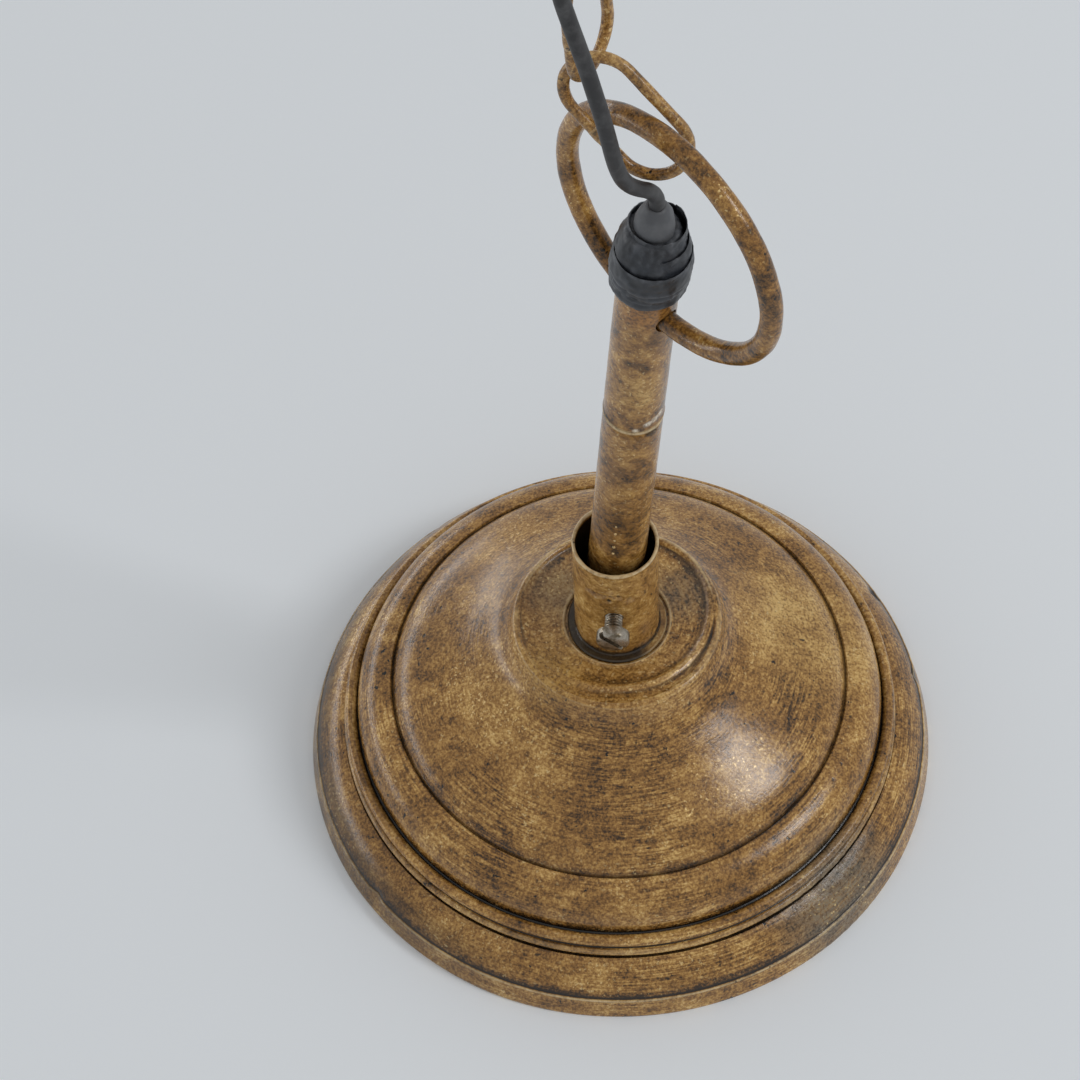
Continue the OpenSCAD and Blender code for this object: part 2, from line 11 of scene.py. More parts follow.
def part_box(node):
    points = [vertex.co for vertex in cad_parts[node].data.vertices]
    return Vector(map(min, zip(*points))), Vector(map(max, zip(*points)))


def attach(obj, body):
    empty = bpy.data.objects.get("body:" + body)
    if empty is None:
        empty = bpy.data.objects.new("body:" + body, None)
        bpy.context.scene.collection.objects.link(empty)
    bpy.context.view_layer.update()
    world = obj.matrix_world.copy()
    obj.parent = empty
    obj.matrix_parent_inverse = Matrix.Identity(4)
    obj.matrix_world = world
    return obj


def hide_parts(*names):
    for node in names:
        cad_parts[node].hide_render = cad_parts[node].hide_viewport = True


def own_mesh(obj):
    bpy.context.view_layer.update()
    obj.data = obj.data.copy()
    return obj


bl_info = {
    "name": "Brass Pendant Lamp",
    "version": (1, 0, 0),
    "blender": (4, 5, 0),
    "location": "View3D > Sidebar > Pendant Lamp",
    "description": "Builds a brass pendant lamp with its stem, ring, chain, cord and lampholder",
    "category": "Add Mesh",
}

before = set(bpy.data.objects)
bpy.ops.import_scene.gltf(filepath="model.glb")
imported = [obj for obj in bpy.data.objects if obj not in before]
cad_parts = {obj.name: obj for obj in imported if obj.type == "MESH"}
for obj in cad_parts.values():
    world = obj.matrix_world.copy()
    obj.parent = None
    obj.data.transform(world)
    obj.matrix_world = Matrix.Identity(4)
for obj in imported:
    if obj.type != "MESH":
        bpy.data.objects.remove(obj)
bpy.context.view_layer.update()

MM = 0.001
MERGE = 1e-6  # points nearer than this, in metres, are one
AXIS = 0.0001  # radius in millimetres of an outline's point on the axis
SHADE_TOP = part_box("shade")[1]
COLLAR_LOW, COLLAR_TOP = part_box("collar")


def length_value(name, description, default, low, high):
    """A size in metres, shown as a length."""
    return FloatProperty(name=name, description=description, default=default, min=low, max=high,
                         subtype="DISTANCE", unit="LENGTH", precision=5)


def angle_value(name, description, default):
    """An angle, given in degrees and kept in radians."""
    return FloatProperty(name=name, description=description, default=radians(default),
                         subtype="ANGLE", unit="ROTATION")


def colour_value(name, description, default):
    """A linear colour."""
    return FloatVectorProperty(name=name, description=description, default=default, size=3,
                               min=0.0, max=1.0, subtype="COLOR")


class LampShade(bpy.types.PropertyGroup):
    """Sizes of the spun shade and its collar."""

    rim_r: length_value("Rim radius", "Radius at the foot of the rim", SHADE_TOP.x, 0.068, 0.08)
    top_z: length_value("Plateau height", "Height of the plateau's raised edge", SHADE_TOP.z, 0.05, 0.06)
    sheet: length_value("Sheet", "Thickness of the spun sheet", 1.2 * MM, 0.0008, 0.0014)
    lumps: length_value("Lumps", "Height of the sheet's faint waves", 0.25 * MM, 0.0, 0.001)
    mouth_z: length_value("Mouth height", "Height of the collar's mouth", COLLAR_TOP.z, 0.08, 0.1)
    collar_r: length_value("Collar radius", "Outer radius of the collar", 9.5 * MM, 0.009, 0.0102)
    collar_wall: length_value("Collar wall", "Wall of the collar", 0.7 * MM, 0.0005, 0.00075)


class LampStem(bpy.types.PropertyGroup):
    """Sizes and lean of the stem, and of what hangs on it."""

    lean_right: angle_value("Lean right", "Lean of the stem to the right", 4)
    lean_front: angle_value("Lean front", "Lean of the stem to the front", 2)
    mouth_right: length_value("Right offset", "Offset to the right at the collar's mouth", 0.7 * MM, 0, 0.001)
    mouth_front: length_value("Front offset", "Offset to the front there", 0.15 * MM, 0, 0.0004)
    radius: length_value("Stem radius", "Outer radius of the tube", 6.35 * MM, 0.006, 0.0066)
    wall: length_value("Stem wall", "Wall of the tube", 1.0 * MM, 0.0008, 0.0012)
    up: length_value("Length above", "Length of tube above the collar's mouth", 111 * MM, 0.1, 0.12)
    down: length_value("Length below", "Length of tube below the collar's mouth", 50 * MM, 0.048, 0.0505)
    seam: length_value("Seam", "Height of the seam above the mouth", 54.5 * MM, 0.03, 0.06)
    hole: length_value("Cross hole", "Height of the ring's hole above the mouth", 93.5 * MM, 0.09, 0.098)
    hole_r: length_value("Hole radius", "Radius of the ring's hole", 2.8 * MM, 0.0027, 0.0032)
    hole_turn: angle_value("Hole turn", "Turn of the ring's hole round the stem", -49)
    hole_tilt: angle_value("Hole tilt", "How far off square the hole runs", 8)
    tape_low: length_value("Tape edge", "Height of the taped joint's lower edge", 98.4 * MM, 0.098, 0.1)


class LampChain(bpy.types.PropertyGroup):
    """Sizes of the pull ring, the links and the hook."""

    ring_r: length_value("Ring radius", "Radius to the middle of the rod", 28 * MM, 0.026, 0.032)
    rod_r: length_value("Rod radius", "Radius of the ring's rod", 2.3 * MM, 0.0019, 0.00235)
    ring_lean: angle_value("Ring lean", "Lean of the ring about its hole", 0.7)
    link_len: length_value("Link length", "Between the middles of its ends", 29 * MM, 0.0285, 0.03)
    link_w: length_value("Link width", "Between the middles of its sides", 14.8 * MM, 0.0146, 0.0156)
    wire_r: length_value("Wire radius", "Radius of the link's wire", 1.2 * MM, 0.0009, 0.00125)
    hook_r: length_value("Hook radius", "Radius of the hook's bend", 7 * MM, 0.006, 0.008)
    hook_wire_r: length_value("Hook wire", "Radius of the hook's wire", 1.6 * MM, 0.0012, 0.0017)
    shank_r: length_value("Shank radius", "Radius of the threaded shank", 2.5 * MM, 0.002, 0.003)
    shank_len: length_value("Shank length", "Length of the threaded shank", 16 * MM, 0.01, 0.025)


class LampColours(bpy.types.PropertyGroup):
    """Colours of the finishes."""

    brass_dark: colour_value("Dark patina", "Darkest mottling", (0.040, 0.020, 0.007))
    brass_brown: colour_value("Brown patina", "Most of the old lacquer", (0.250, 0.116, 0.026))
    brass_tan: colour_value("Tan patina", "Rubbed stretches", (0.450, 0.240, 0.064))
    brass_gold: colour_value("Bare brass", "Brightest grains", (0.740, 0.480, 0.170))
    brass_worn: colour_value("Worn edges", "Edges rubbed pale", (0.680, 0.520, 0.290))
    tape: colour_value("Tape", "Black insulating tape", (0.012, 0.013, 0.016))
    boot: colour_value("Boot", "Grey twist of tape where the cord leaves", (0.085, 0.088, 0.095))
    cord: colour_value("Cord", "Dark cord", (0.021, 0.020, 0.021))
    steel: colour_value("Steel", "Plated steel", (0.46, 0.41, 0.34))
    porcelain: colour_value("Porcelain", "Glazed insulators", (0.80, 0.79, 0.74))
    nylon: colour_value("Nylon", "Connector's moulding", (0.78, 0.77, 0.71))
    live: colour_value("Live wire", "Brown insulation", (0.16, 0.055, 0.018))
    neutral: colour_value("Neutral wire", "Blue insulation", (0.02, 0.07, 0.30))


class LampStage(bpy.types.PropertyGroup):
    """Camera, floor and lights."""

    eye: FloatVectorProperty(name="Camera place", description="Where the camera stands", size=3,
                             default=(-0.0164, -0.4708, 0.8259), subtype="TRANSLATION", unit="LENGTH")
    elevation: angle_value("Elevation", "How steeply the camera looks down", 57.41)
    roll: angle_value("Roll", "Turn of the camera about its line of sight", 3.15)
    lens: FloatProperty(name="Lens", description="Focal length on a 36 mm sensor, in mm", default=133.33)
    floor: colour_value("Floor", "Pale floor", (0.880, 0.910, 0.935))
    sky: FloatProperty(name="Sky", description="Strength of the light from all round", default=0.51)
    window: FloatProperty(name="Window", description="Power of the window light in watts", default=13.5)


# Modelling helpers. Their sizes are in millimetres, and the meshes that they make are in metres.

def deselect():
    """Goes back to object mode with nothing selected."""
    if bpy.context.object and bpy.context.object.mode != "OBJECT":
        bpy.ops.object.mode_set(mode="OBJECT")
    bpy.ops.object.select_all(action="DESELECT")


def activate(piece):
    """Selects one piece alone, in object mode."""
    deselect()
    piece.select_set(True)
    bpy.context.view_layer.objects.active = piece
    return piece


def edit(piece, action="SELECT"):
    """Opens a piece in edit mode, with all or none of it selected."""
    activate(piece)
    bpy.ops.object.mode_set(mode="EDIT")
    bpy.ops.mesh.select_all(action=action)


def settle(piece, place=None):
    """Puts a piece at its place and leaves the place in its mesh."""
    activate(piece)
    if place is not None:
        piece.matrix_world = place @ piece.matrix_world
    bpy.ops.object.transform_apply(location=True, rotation=True, scale=True)
    return piece


def mend_faces(piece):
    """Merges doubles and turns the faces outwards."""
    edit(piece)
    bpy.ops.mesh.remove_doubles(threshold=MERGE)
    bpy.ops.mesh.normals_make_consistent(inside=False)
    deselect()
    return piece


def apply(piece, kind, **values):
    """Adds a modifier, sets it up and applies it."""
    activate(piece)
    modifier = piece.modifiers.new(kind.title(), kind)
    for key, value in values.items():
        setattr(modifier, key, value)
    bpy.ops.object.modifier_apply(modifier=modifier.name)
    return piece


def join(name, pieces):
    """Joins pieces into one mesh."""
    activate(pieces[0])
    for piece in pieces:
        piece.select_set(True)
    bpy.ops.object.join()
    pieces[0].name = name
    return pieces[0]


def carve(piece, cutter):
    """Cuts one solid out of another."""
    apply(piece, "BOOLEAN", object=cutter, operation="DIFFERENCE", solver="EXACT")
    bpy.data.objects.remove(cutter)


def rod(radius, low, high, place=None, sides=48):
    """A plain round rod along Z, used as a cutter."""
    deselect()
    bpy.ops.mesh.primitive_cylinder_add(vertices=sides, radius=radius * MM, depth=(high - low) * MM,
                                        location=(0, 0, (low + high) / 2 * MM))
    return settle(bpy.context.object, place)


def block(name, low, high, bevel=0.0, place=None):
    """A box between two corners, with its edges rounded."""
    low, high = Vector(low) * MM, Vector(high) * MM
    deselect()
    bpy.ops.mesh.primitive_cube_add(size=1, location=(low + high) / 2)
    piece = bpy.context.object
    piece.name = name
    piece.scale = high - low
    settle(piece)
    if bevel:
        edit(piece)
        bpy.ops.mesh.bevel(offset=bevel * MM, segments=3)
    return settle(piece, place)


def drawn_line(name, points):
    """One open line of edges, extruded from point to point as by hand."""
    points = [Vector(point) * MM for point in points]
    deselect()
    bpy.ops.mesh.primitive_plane_add(size=10 * MM, location=points[0])
    piece = bpy.context.object
    piece.name = name
    edit(settle(piece))
    bpy.ops.mesh.merge(type="CENTER")
    for here, there in zip(points, points[1:]):
        bpy.ops.mesh.extrude_vertices_move(TRANSFORM_OT_translate={"value": there - here})
    return piece


def turned(name, outline, place=None, steps=96):
    """A piece turned on a lathe: its outline of (radius, height) is spun round the Z axis."""
    points = [(r, 0, z) for r, z in outline]
    if outline[0][0] != AXIS:
        points.append(points[0])
    piece = drawn_line(name, points)
    edit(piece)
    bpy.ops.mesh.spin(steps=steps, angle=2 * pi, center=(0, 0, 0), axis=(0, 0, 1))
    return settle(mend_faces(piece), place)


def screwed(piece, pitch, turns, steps):
    """Winds a line round Z, by whole turns that meet each other."""
    return apply(piece, "SCREW", screw_offset=pitch * MM, iterations=turns, steps=steps,
                 render_steps=steps, use_merge_vertices=True, merge_threshold=MERGE)


def threaded(name, root, crest, pitch, low, turns):
    """A screw thread round Z, wound from the outline of one tooth."""
    tooth = [(root, 0, low), (root, 0, low + 0.15 * pitch), (crest, 0, low + 0.42 * pitch),
             (crest, 0, low + 0.58 * pitch), (root, 0, low + pitch)]
    return settle(mend_faces(screwed(drawn_line(name, tooth), pitch, turns, 40)))


def round_curve(name, radius, sides):
    """An empty curve with a round section and closed ends."""
    curve = bpy.data.curves.new(name, "CURVE")
    curve.dimensions = "3D"
    curve.bevel_depth = radius * MM
    curve.bevel_resolution = sides
    curve.use_fill_caps = True
    piece = bpy.data.objects.new(name, curve)
    bpy.context.scene.collection.objects.link(piece)
    return piece


def bent_wire(name, points, radius, closed=False, place=None, sides=7):
    """A wire bent along points: a round curve that is made a mesh."""
    piece = round_curve(name, radius, sides)
    line = piece.data.splines.new("POLY")
    line.points.add(len(points) - 1)
    for spot, point in zip(line.points, points):
        spot.co = (*(Vector(point) * MM), 1)
    line.use_cyclic_u = closed
    activate(piece)
    bpy.ops.object.convert(target="MESH")
    return settle(mend_faces(bpy.context.object), place)


def lumpy(piece, size, height, depth=2, group=""):
    """Raises and lowers a surface by soft noise."""
    clouds = bpy.data.textures.new(piece.name + "_lumps", "CLOUDS")
    clouds.noise_scale = size * MM
    clouds.noise_depth = depth
    return apply(piece, "DISPLACE", texture=clouds, texture_coords="LOCAL", strength=height * MM,
                 mid_level=0.5, vertex_group=group)


def weigh(piece, name, share):
    """A vertex group whose weights are a function of the place in millimetres."""
    group = piece.vertex_groups.new(name=name)
    for vertex in piece.data.vertices:
        weight = share(*(vertex.co / MM))
        if weight > 0.002:
            group.add([vertex.index], min(1.0, weight), "REPLACE")
    return name


def swell(piece, share, height):
    """Raises or lowers a surface by a share of a height that depends on the place."""
    return apply(piece, "DISPLACE", direction="Z", strength=height * MM, mid_level=0.0,
                 vertex_group=weigh(piece, share.__name__, share))


def dent(piece, spot, depth, reach, drop=0.0):
    """Pushes a surface in, or out where the depth is below 0, round the point nearest to a spot."""
    spot = Vector(spot)
    inwards = Vector((-spot.x, -spot.y, -drop)).normalized()
    edit(piece, "DESELECT")
    activate(piece)
    nearest = min(piece.data.vertices, key=lambda vertex: (vertex.co - spot * MM).length)
    nearest.select = True
    bpy.ops.object.mode_set(mode="EDIT")
    bpy.ops.transform.translate(value=inwards * depth * MM, use_proportional_edit=True,
                                proportional_edit_falloff="SMOOTH", proportional_size=reach * MM)
    deselect()


def weather(piece, strongest):
    """Stores how hollow (above 0) or how exposed (below 0) each point is, sharply and spread out."""
    mesh = piece.data
    count = len(mesh.vertices)
    place, normal = np.zeros(count * 3), np.zeros(count * 3)
    ends = np.zeros(len(mesh.edges) * 2, int)
    mesh.vertices.foreach_get("co", place)
    mesh.vertices.foreach_get("normal", normal)
    mesh.edges.foreach_get("vertices", ends)
    place, normal, (a, b) = place.reshape(-1, 3), normal.reshape(-1, 3), ends.reshape(-1, 2).T
    across = place[b] - place[a]
    square = np.maximum((across ** 2).sum(1), 1e-12)

    def gathered(at_a, at_b):
        return np.bincount(a, at_a, count) + np.bincount(b, at_b, count)

    bend = gathered((across * normal[a]).sum(1) / square, -(across * normal[b]).sum(1) / square)
    edges = np.maximum(np.bincount(ends, minlength=count), 1)
    relief = np.clip(2 * bend / edges / strongest, -1, 1)
    for name, passes in (("relief", 2), ("spread_relief", 12)):
        for _ in range(passes):
            relief = (relief * 2 + gathered(relief[b], relief[a])) / (edges + 2)
        mesh.attributes.new(name, "FLOAT", "POINT").data.foreach_set("value", relief.astype(np.float32))


def finish_piece(piece, body, nodes, finish, angle=40, strongest=0):
    """Shades a piece smooth, gives it its finish, puts it under its body and hides the CAD nodes that it
    stands for.
    """
    if strongest:
        weather(piece, strongest)
    if piece.type == "MESH":
        activate(piece)
        bpy.ops.object.shade_smooth_by_angle(angle=radians(angle))
    piece.data.name = piece.name
    piece.data.materials.clear()
    piece.data.materials.append(finish)
    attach(piece, body)
    if nodes:
        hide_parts(*nodes)


# Outline helpers

def arc(centre, radius, start, end, steps=10):
    """Points on an arc, from one angle to another in degrees."""
    turns = [radians(start + (end - start) * i / steps) for i in range(steps + 1)]
    return [(centre[0] + radius * cos(a), centre[1] + radius * sin(a)) for a in turns]


def bezier(points, steps=16):
    """Points on a curve that four points draw."""
    found = []
    for i in range(steps + 1):
        t = i / steps
        shares = ((1 - t) ** 3, 3 * (1 - t) ** 2 * t, 3 * (1 - t) * t * t, t ** 3)
        found.append(tuple(sum(share * point[axis] for share, point in zip(shares, points))
                           for axis in (0, 1)))
    return found


def shifted(points, distance):
    """A line of points, moved to its left."""
    moved = []
    for i, (x, y) in enumerate(points):
        x0, y0 = points[max(i - 1, 0)]
        x1, y1 = points[min(i + 1, len(points) - 1)]
        size = sqrt((x1 - x0) ** 2 + (y1 - y0) ** 2)
        moved.append((x - distance * (y1 - y0) / size, y + distance * (x1 - x0) / size))
    return moved


def raised(height, points):
    """Points of an outline, given from a height."""
    return [(r, height + z) for r, z in points]


def rows(radius, low, high, count):
    """Points up a straight wall, after its lowest."""
    return [(radius, low + (high - low) * i / count) for i in range(1, count + 1)]


def shade_outline(shade):
    """The shade's outline, outer face upwards and inner face back down."""
    rim_r, sheet, top_z = shade.rim_r / MM, shade.sheet / MM, shade.top_z / MM - 0.25
    edge_r, band_h = rim_r - 1.35, 5.6
    foot_z, groove_z, foot_r, groove_r = band_h + 23.8, band_h + 13.2, 52.2, 61.1
    plateau_r, hole_r, bead_r = 23.6, 11.75, 1.35
    lip_r, lip_z = groove_r + 2 * bead_r + 0.8, groove_z - 5.5
    lip = bezier([(edge_r - 0.2, band_h + 0.3), (edge_r - 1.3, band_h + 3.1),
                  (lip_r + 2.6, lip_z - 0.9), (lip_r, lip_z)], 14)
    torus = bezier([(groove_r - 0.3, groove_z - 0.2), (groove_r + 0.6, groove_z + 4.2),
                    (foot_r + 6.2, foot_z - 0.9), (foot_r + 0.7, foot_z + 0.1)], 14)
    neck_z, waist_r = top_z - 1.4, plateau_r + 10.4
    waist_z = foot_z + 0.52 * (neck_z - foot_z)
    bulge = bezier([(foot_r - 0.2, foot_z + 0.1), (foot_r - 2.6, foot_z + 5.6),
                    (waist_r + 7.4, waist_z - 5.2), (waist_r, waist_z)], 18)
    neck = bezier([(waist_r, waist_z), (waist_r - 5.2, waist_z + 3.7),
                   (plateau_r + 1.4, neck_z - 6.2), (plateau_r + 0.3, neck_z)])
    under_z = top_z - 0.35 - sheet
    outer = [(rim_r - 0.1, 0), (rim_r, 0.25), (rim_r, 0.9), (edge_r + 0.75, 3.2)]
    outer += arc((edge_r - 0.25, band_h - 0.35), 0.6, 0, 80, 6) + lip
    outer += [(lip_r - 0.35, lip_z - 0.35), (lip_r - 0.6, lip_z + 0.1)]
    outer += arc((lip_r - 1.15, lip_z + 1.5), 1.05, -40, 100, 9) + [(lip_r - 1.7, lip_z + 2.9)]
    outer += arc((groove_r + bead_r + 0.2, groove_z - 0.5), bead_r, -20, 150, 12)
    outer += [(groove_r, groove_z - 0.35)] + torus + [(foot_r + 0.25, foot_z - 0.4)] + bulge[:-1] + neck
    outer += arc((plateau_r - 0.9, top_z - 0.75), 1.0, 10, 120, 9)
    outer += [(plateau_r - 1.7 - 0.4 * i, top_z - min(0.25 + 0.06 * i, 0.4)) for i in range(24)]
    outer += arc((hole_r + 0.5, top_z - 0.6), 0.5, 80, 180, 5)
    inner = [(rim_r - sheet, 0), (edge_r - sheet, band_h - 0.6)] + shifted(lip, sheet)
    inner += [(lip_r - 2.9, groove_z - 1.6)] + shifted(torus, sheet)
    inner += shifted(bulge, sheet) + shifted(neck, sheet)[1:]
    inner += [(plateau_r - 1.0, under_z), (hole_r, under_z)]
    return outer + inner[::-1]


def fade(value, low, high):
    """0 at low and 1 at high, smooth between them."""
    share = min(1.0, max(0.0, (value - low) / (high - low)))
    return share * share * (3 - 2 * share)


def basin(x, y, z):
    """The sunken floor of the plateau, a little off its middle."""
    return fade(sqrt((x - 0.3) ** 2 + (y - 2.7) ** 2), 21.4, 18.4) * fade(z, 53.4, 54.4)


def ridge(x, y, z):
    """The ridge round that floor, highest on the right."""
    away = sqrt((x - 0.3) ** 2 + (y - 2.7) ** 2)
    side = 0.25 + 0.75 * fade(cos(atan2(y, x) + radians(25)), -0.3, 0.6)
    return side * fade(abs(away - 21.0), 1.4, 0.0) * fade(z, 53.4, 54.4)


def melted(x, y, z):
    """Where the plateau's edge has lost its line, in front and to the left."""
    side = fade(cos(atan2(y, x) + radians(112)), 0.35, 0.9)
    return side * fade(abs(sqrt(x * x + y * y) - 23.4), 1.9, 0.2) * fade(z, 52.6, 54.0)


PITTED_SPOT, PITTED_REACH = Vector((47.6, -49.8, 9.9)), 17


def pitted(x, y, z):
    """The corroded patch on the lip, in front and to the right."""
    return 1.6 * (1 - (Vector((x, y, z)) - PITTED_SPOT).length / PITTED_REACH)


# Places of the leaning and hanging pieces, in metres

def turn(x, y, z):
    """A turn about X, then Y, then Z, in degrees."""
    return Euler((radians(x), radians(y), radians(z))).to_matrix().to_4x4()


def lift(height):
    """A move up."""
    return Matrix.Translation((0, 0, height))


def stem_place():
    """The stem's own frame: its origin lies in the collar's mouth and Z runs up the tube."""
    stem, shade = bpy.context.scene.lamp_stem, bpy.context.scene.lamp_shade
    lean = Matrix.Rotation(stem.lean_right, 4, "Y") @ Matrix.Rotation(stem.lean_front, 4, "X")
    return Matrix.Translation((stem.mouth_right, -stem.mouth_front, shade.mouth_z)) @ lean


def hole_place():
    """The cross hole's frame: X runs along the hole and the ring stands in its XZ plane."""
    stem, chain = bpy.context.scene.lamp_stem, bpy.context.scene.lamp_chain
    return (stem_place() @ lift(stem.hole) @ Matrix.Rotation(stem.hole_turn, 4, "Z")
            @ Matrix.Rotation(stem.hole_tilt, 4, "Y") @ Matrix.Rotation(chain.ring_lean, 4, "X"))


def ring_place():
    """The ring's middle."""
    return hole_place() @ lift(bpy.context.scene.lamp_chain.ring_r)


def link_1_place():
    """The first link's middle, on the ring's upper left."""
    return ring_place() @ turn(0, -36.5, 0) @ lift(bpy.context.scene.lamp_chain.ring_r) @ turn(2, 26, -144)


def link_2_place():
    """The second link's middle, hung in the first one's upper end."""
    chain = bpy.context.scene.lamp_chain
    bow, leg = chain.link_w / 2, (chain.link_len - chain.link_w) / 2
    room = bow - 2 * chain.wire_r - 1 * MM
    near, far = radians(20), radians(32.5)
    first = Matrix.Translation((-bow * sin(near), 0, leg + bow * cos(near)))
    second = Matrix.Translation((-room * sin(far), 0, leg + room * cos(far)))
    return link_1_place() @ first @ turn(-45, 3, 69) @ second


def hook_place():
    """The middle of the hook's bend, in the second link's upper end."""
    chain = bpy.context.scene.lamp_chain
    low = chain.link_len / 2 - chain.wire_r - chain.hook_wire_r - 0.4 * MM
    return link_2_place() @ lift(low + chain.hook_r) @ turn(0, 0, 90)


def screw_place():
    """The set screw's frame: Z runs out of the collar through the screw's head."""
    return lift(70.5 * MM) @ turn(0, 0, -6) @ turn(90, 0, 0)


# Materials

class Finish:
    """A material under construction, with short names for its nodes."""

    def __init__(self, name, place=None):
        self.material = bpy.data.materials.new(name)
        self.material.use_nodes = True
        self.tree = self.material.node_tree
        self.shader = self.tree.nodes["Principled BSDF"]
        self.where = self.node("TexCoord").outputs["Object"]
        if place is not None:
            inputs = {"Vector": self.where, "Location": place.to_translation(), "Rotation": place.to_euler()}
            self.where = self.node("Mapping", inputs, vector_type="TEXTURE").outputs[0]

    def link(self, source, socket):
        """Joins an output to a socket, or sets the socket to a plain value."""
        if isinstance(source, bpy.types.NodeSocket):
            self.tree.links.new(source, socket)
        else:
            socket.default_value = source

    def node(self, kind, inputs=None, **settings):
        """Adds a node, with its settings and its inputs by name or number."""
        made = self.tree.nodes.new("ShaderNode" + kind)
        for key, value in settings.items():
            setattr(made, key, value)
        for key, source in (inputs or {}).items():
            self.link(source, made.inputs[key])
        return made

    def maths(self, operation, *values):
        """A Math node's value."""
        return self.node("Math", dict(enumerate(values)), operation=operation).outputs[0]

    def times(self, first, second):
        """One value times another."""
        return self.maths("MULTIPLY", first, second)

    def most(self, first, second):
        """The larger of two values."""
        return self.maths("MAXIMUM", first, second)

    def total(self, start, *parts):
        """A value, with shares of other values added to it."""
        for value, share in parts:
            start = self.maths("MULTIPLY_ADD", value, share, start)
        return start

    def vector(self, operation, inputs, output="Vector"):
        """A Vector Math node's result."""
        return self.node("VectorMath", inputs, operation=operation).outputs[output]

    def axis(self, name):
        """One coordinate."""
        return self.node("SeparateXYZ", {0: self.where}).outputs[name]

    def flat(self):
        """The place without its height."""
        return self.vector("MULTIPLY", {0: self.where, 1: (1, 1, 0)})

    def radius(self):
        """How far a point is from the Z axis."""
        return self.vector("LENGTH", {0: self.flat()}, "Value")

    def near(self, centre, reach):
        """1 at a point in millimetres, fading to 0 at its reach."""
        away = self.vector("DISTANCE", {0: self.where, 1: Vector(centre) * MM}, "Value")
        return self.ramp(away, reach * MM, 0.35 * reach * MM)

    def noise(self, scale, detail=4.0, roughness=0.55, distortion=0.0, where=None):
        """Soft noise, from 0 to 1."""
        return self.node("TexNoise", {"Vector": where or self.where, "Scale": scale, "Detail": detail,
                                      "Roughness": roughness, "Distortion": distortion}).outputs["Fac"]

    def turning_marks(self, reach, fineness, roughness=0.55):
        """Noise in fine lines round the Z axis: slow along them and fast across."""
        heading = self.vector("NORMALIZE", {0: self.flat()})
        across = self.times(self.maths("SUBTRACT", self.radius(), self.axis("Z")), fineness)
        along = self.vector("SCALE", {0: heading, "Scale": reach})
        lines = self.vector("ADD", {0: along, 1: self.node("CombineXYZ", {"Z": across}).outputs[0]})
        return self.noise(1.0, 3, roughness, where=lines)

    def ramp(self, value, low, high, start=0.0, end=1.0):
        """Stretches a range of values to another."""
        return self.node("MapRange", {"Value": value, "From Min": low, "From Max": high,
                                      "To Min": start, "To Max": end}).outputs[0]

    def mix(self, share, first, second):
        """A colour between two colours."""
        made = self.node("Mix", data_type="RGBA")
        self.link(share, made.inputs[0])
        for source, socket in ((first, made.inputs[6]), (second, made.inputs[7])):
            self.link(source if isinstance(source, bpy.types.NodeSocket) else (*source, 1), socket)
        return made.outputs[2]

    def stored(self, name):
        """A value that the mesh keeps at its points."""
        return self.node("Attribute", attribute_name=name).outputs["Fac"]

    def bump(self, height, strength, depth, coat=None):
        """Sends a height to the shader's normal and to its coat's. The depth is in millimetres."""
        for socket, share in (("Normal", strength), ("Coat Normal", coat or strength)):
            made = self.node("Bump", {"Height": height, "Strength": share, "Distance": depth * MM})
            self.link(made.outputs[0], self.shader.inputs[socket])

    def set(self, **values):
        """Sets or links the shader's own sockets."""
        for key, value in values.items():
            self.link(value, self.shader.inputs[key.replace("_", " ")])


# Gold flecks; near-black for dirt and for painted shade in hollows; black chips.
FLECK_GOLD, GRIME_AND_SHADE, CHIP_BLACK = (0.85, 0.62, 0.28), (0.010, 0.008, 0.006), (0.010, 0.009, 0.008)


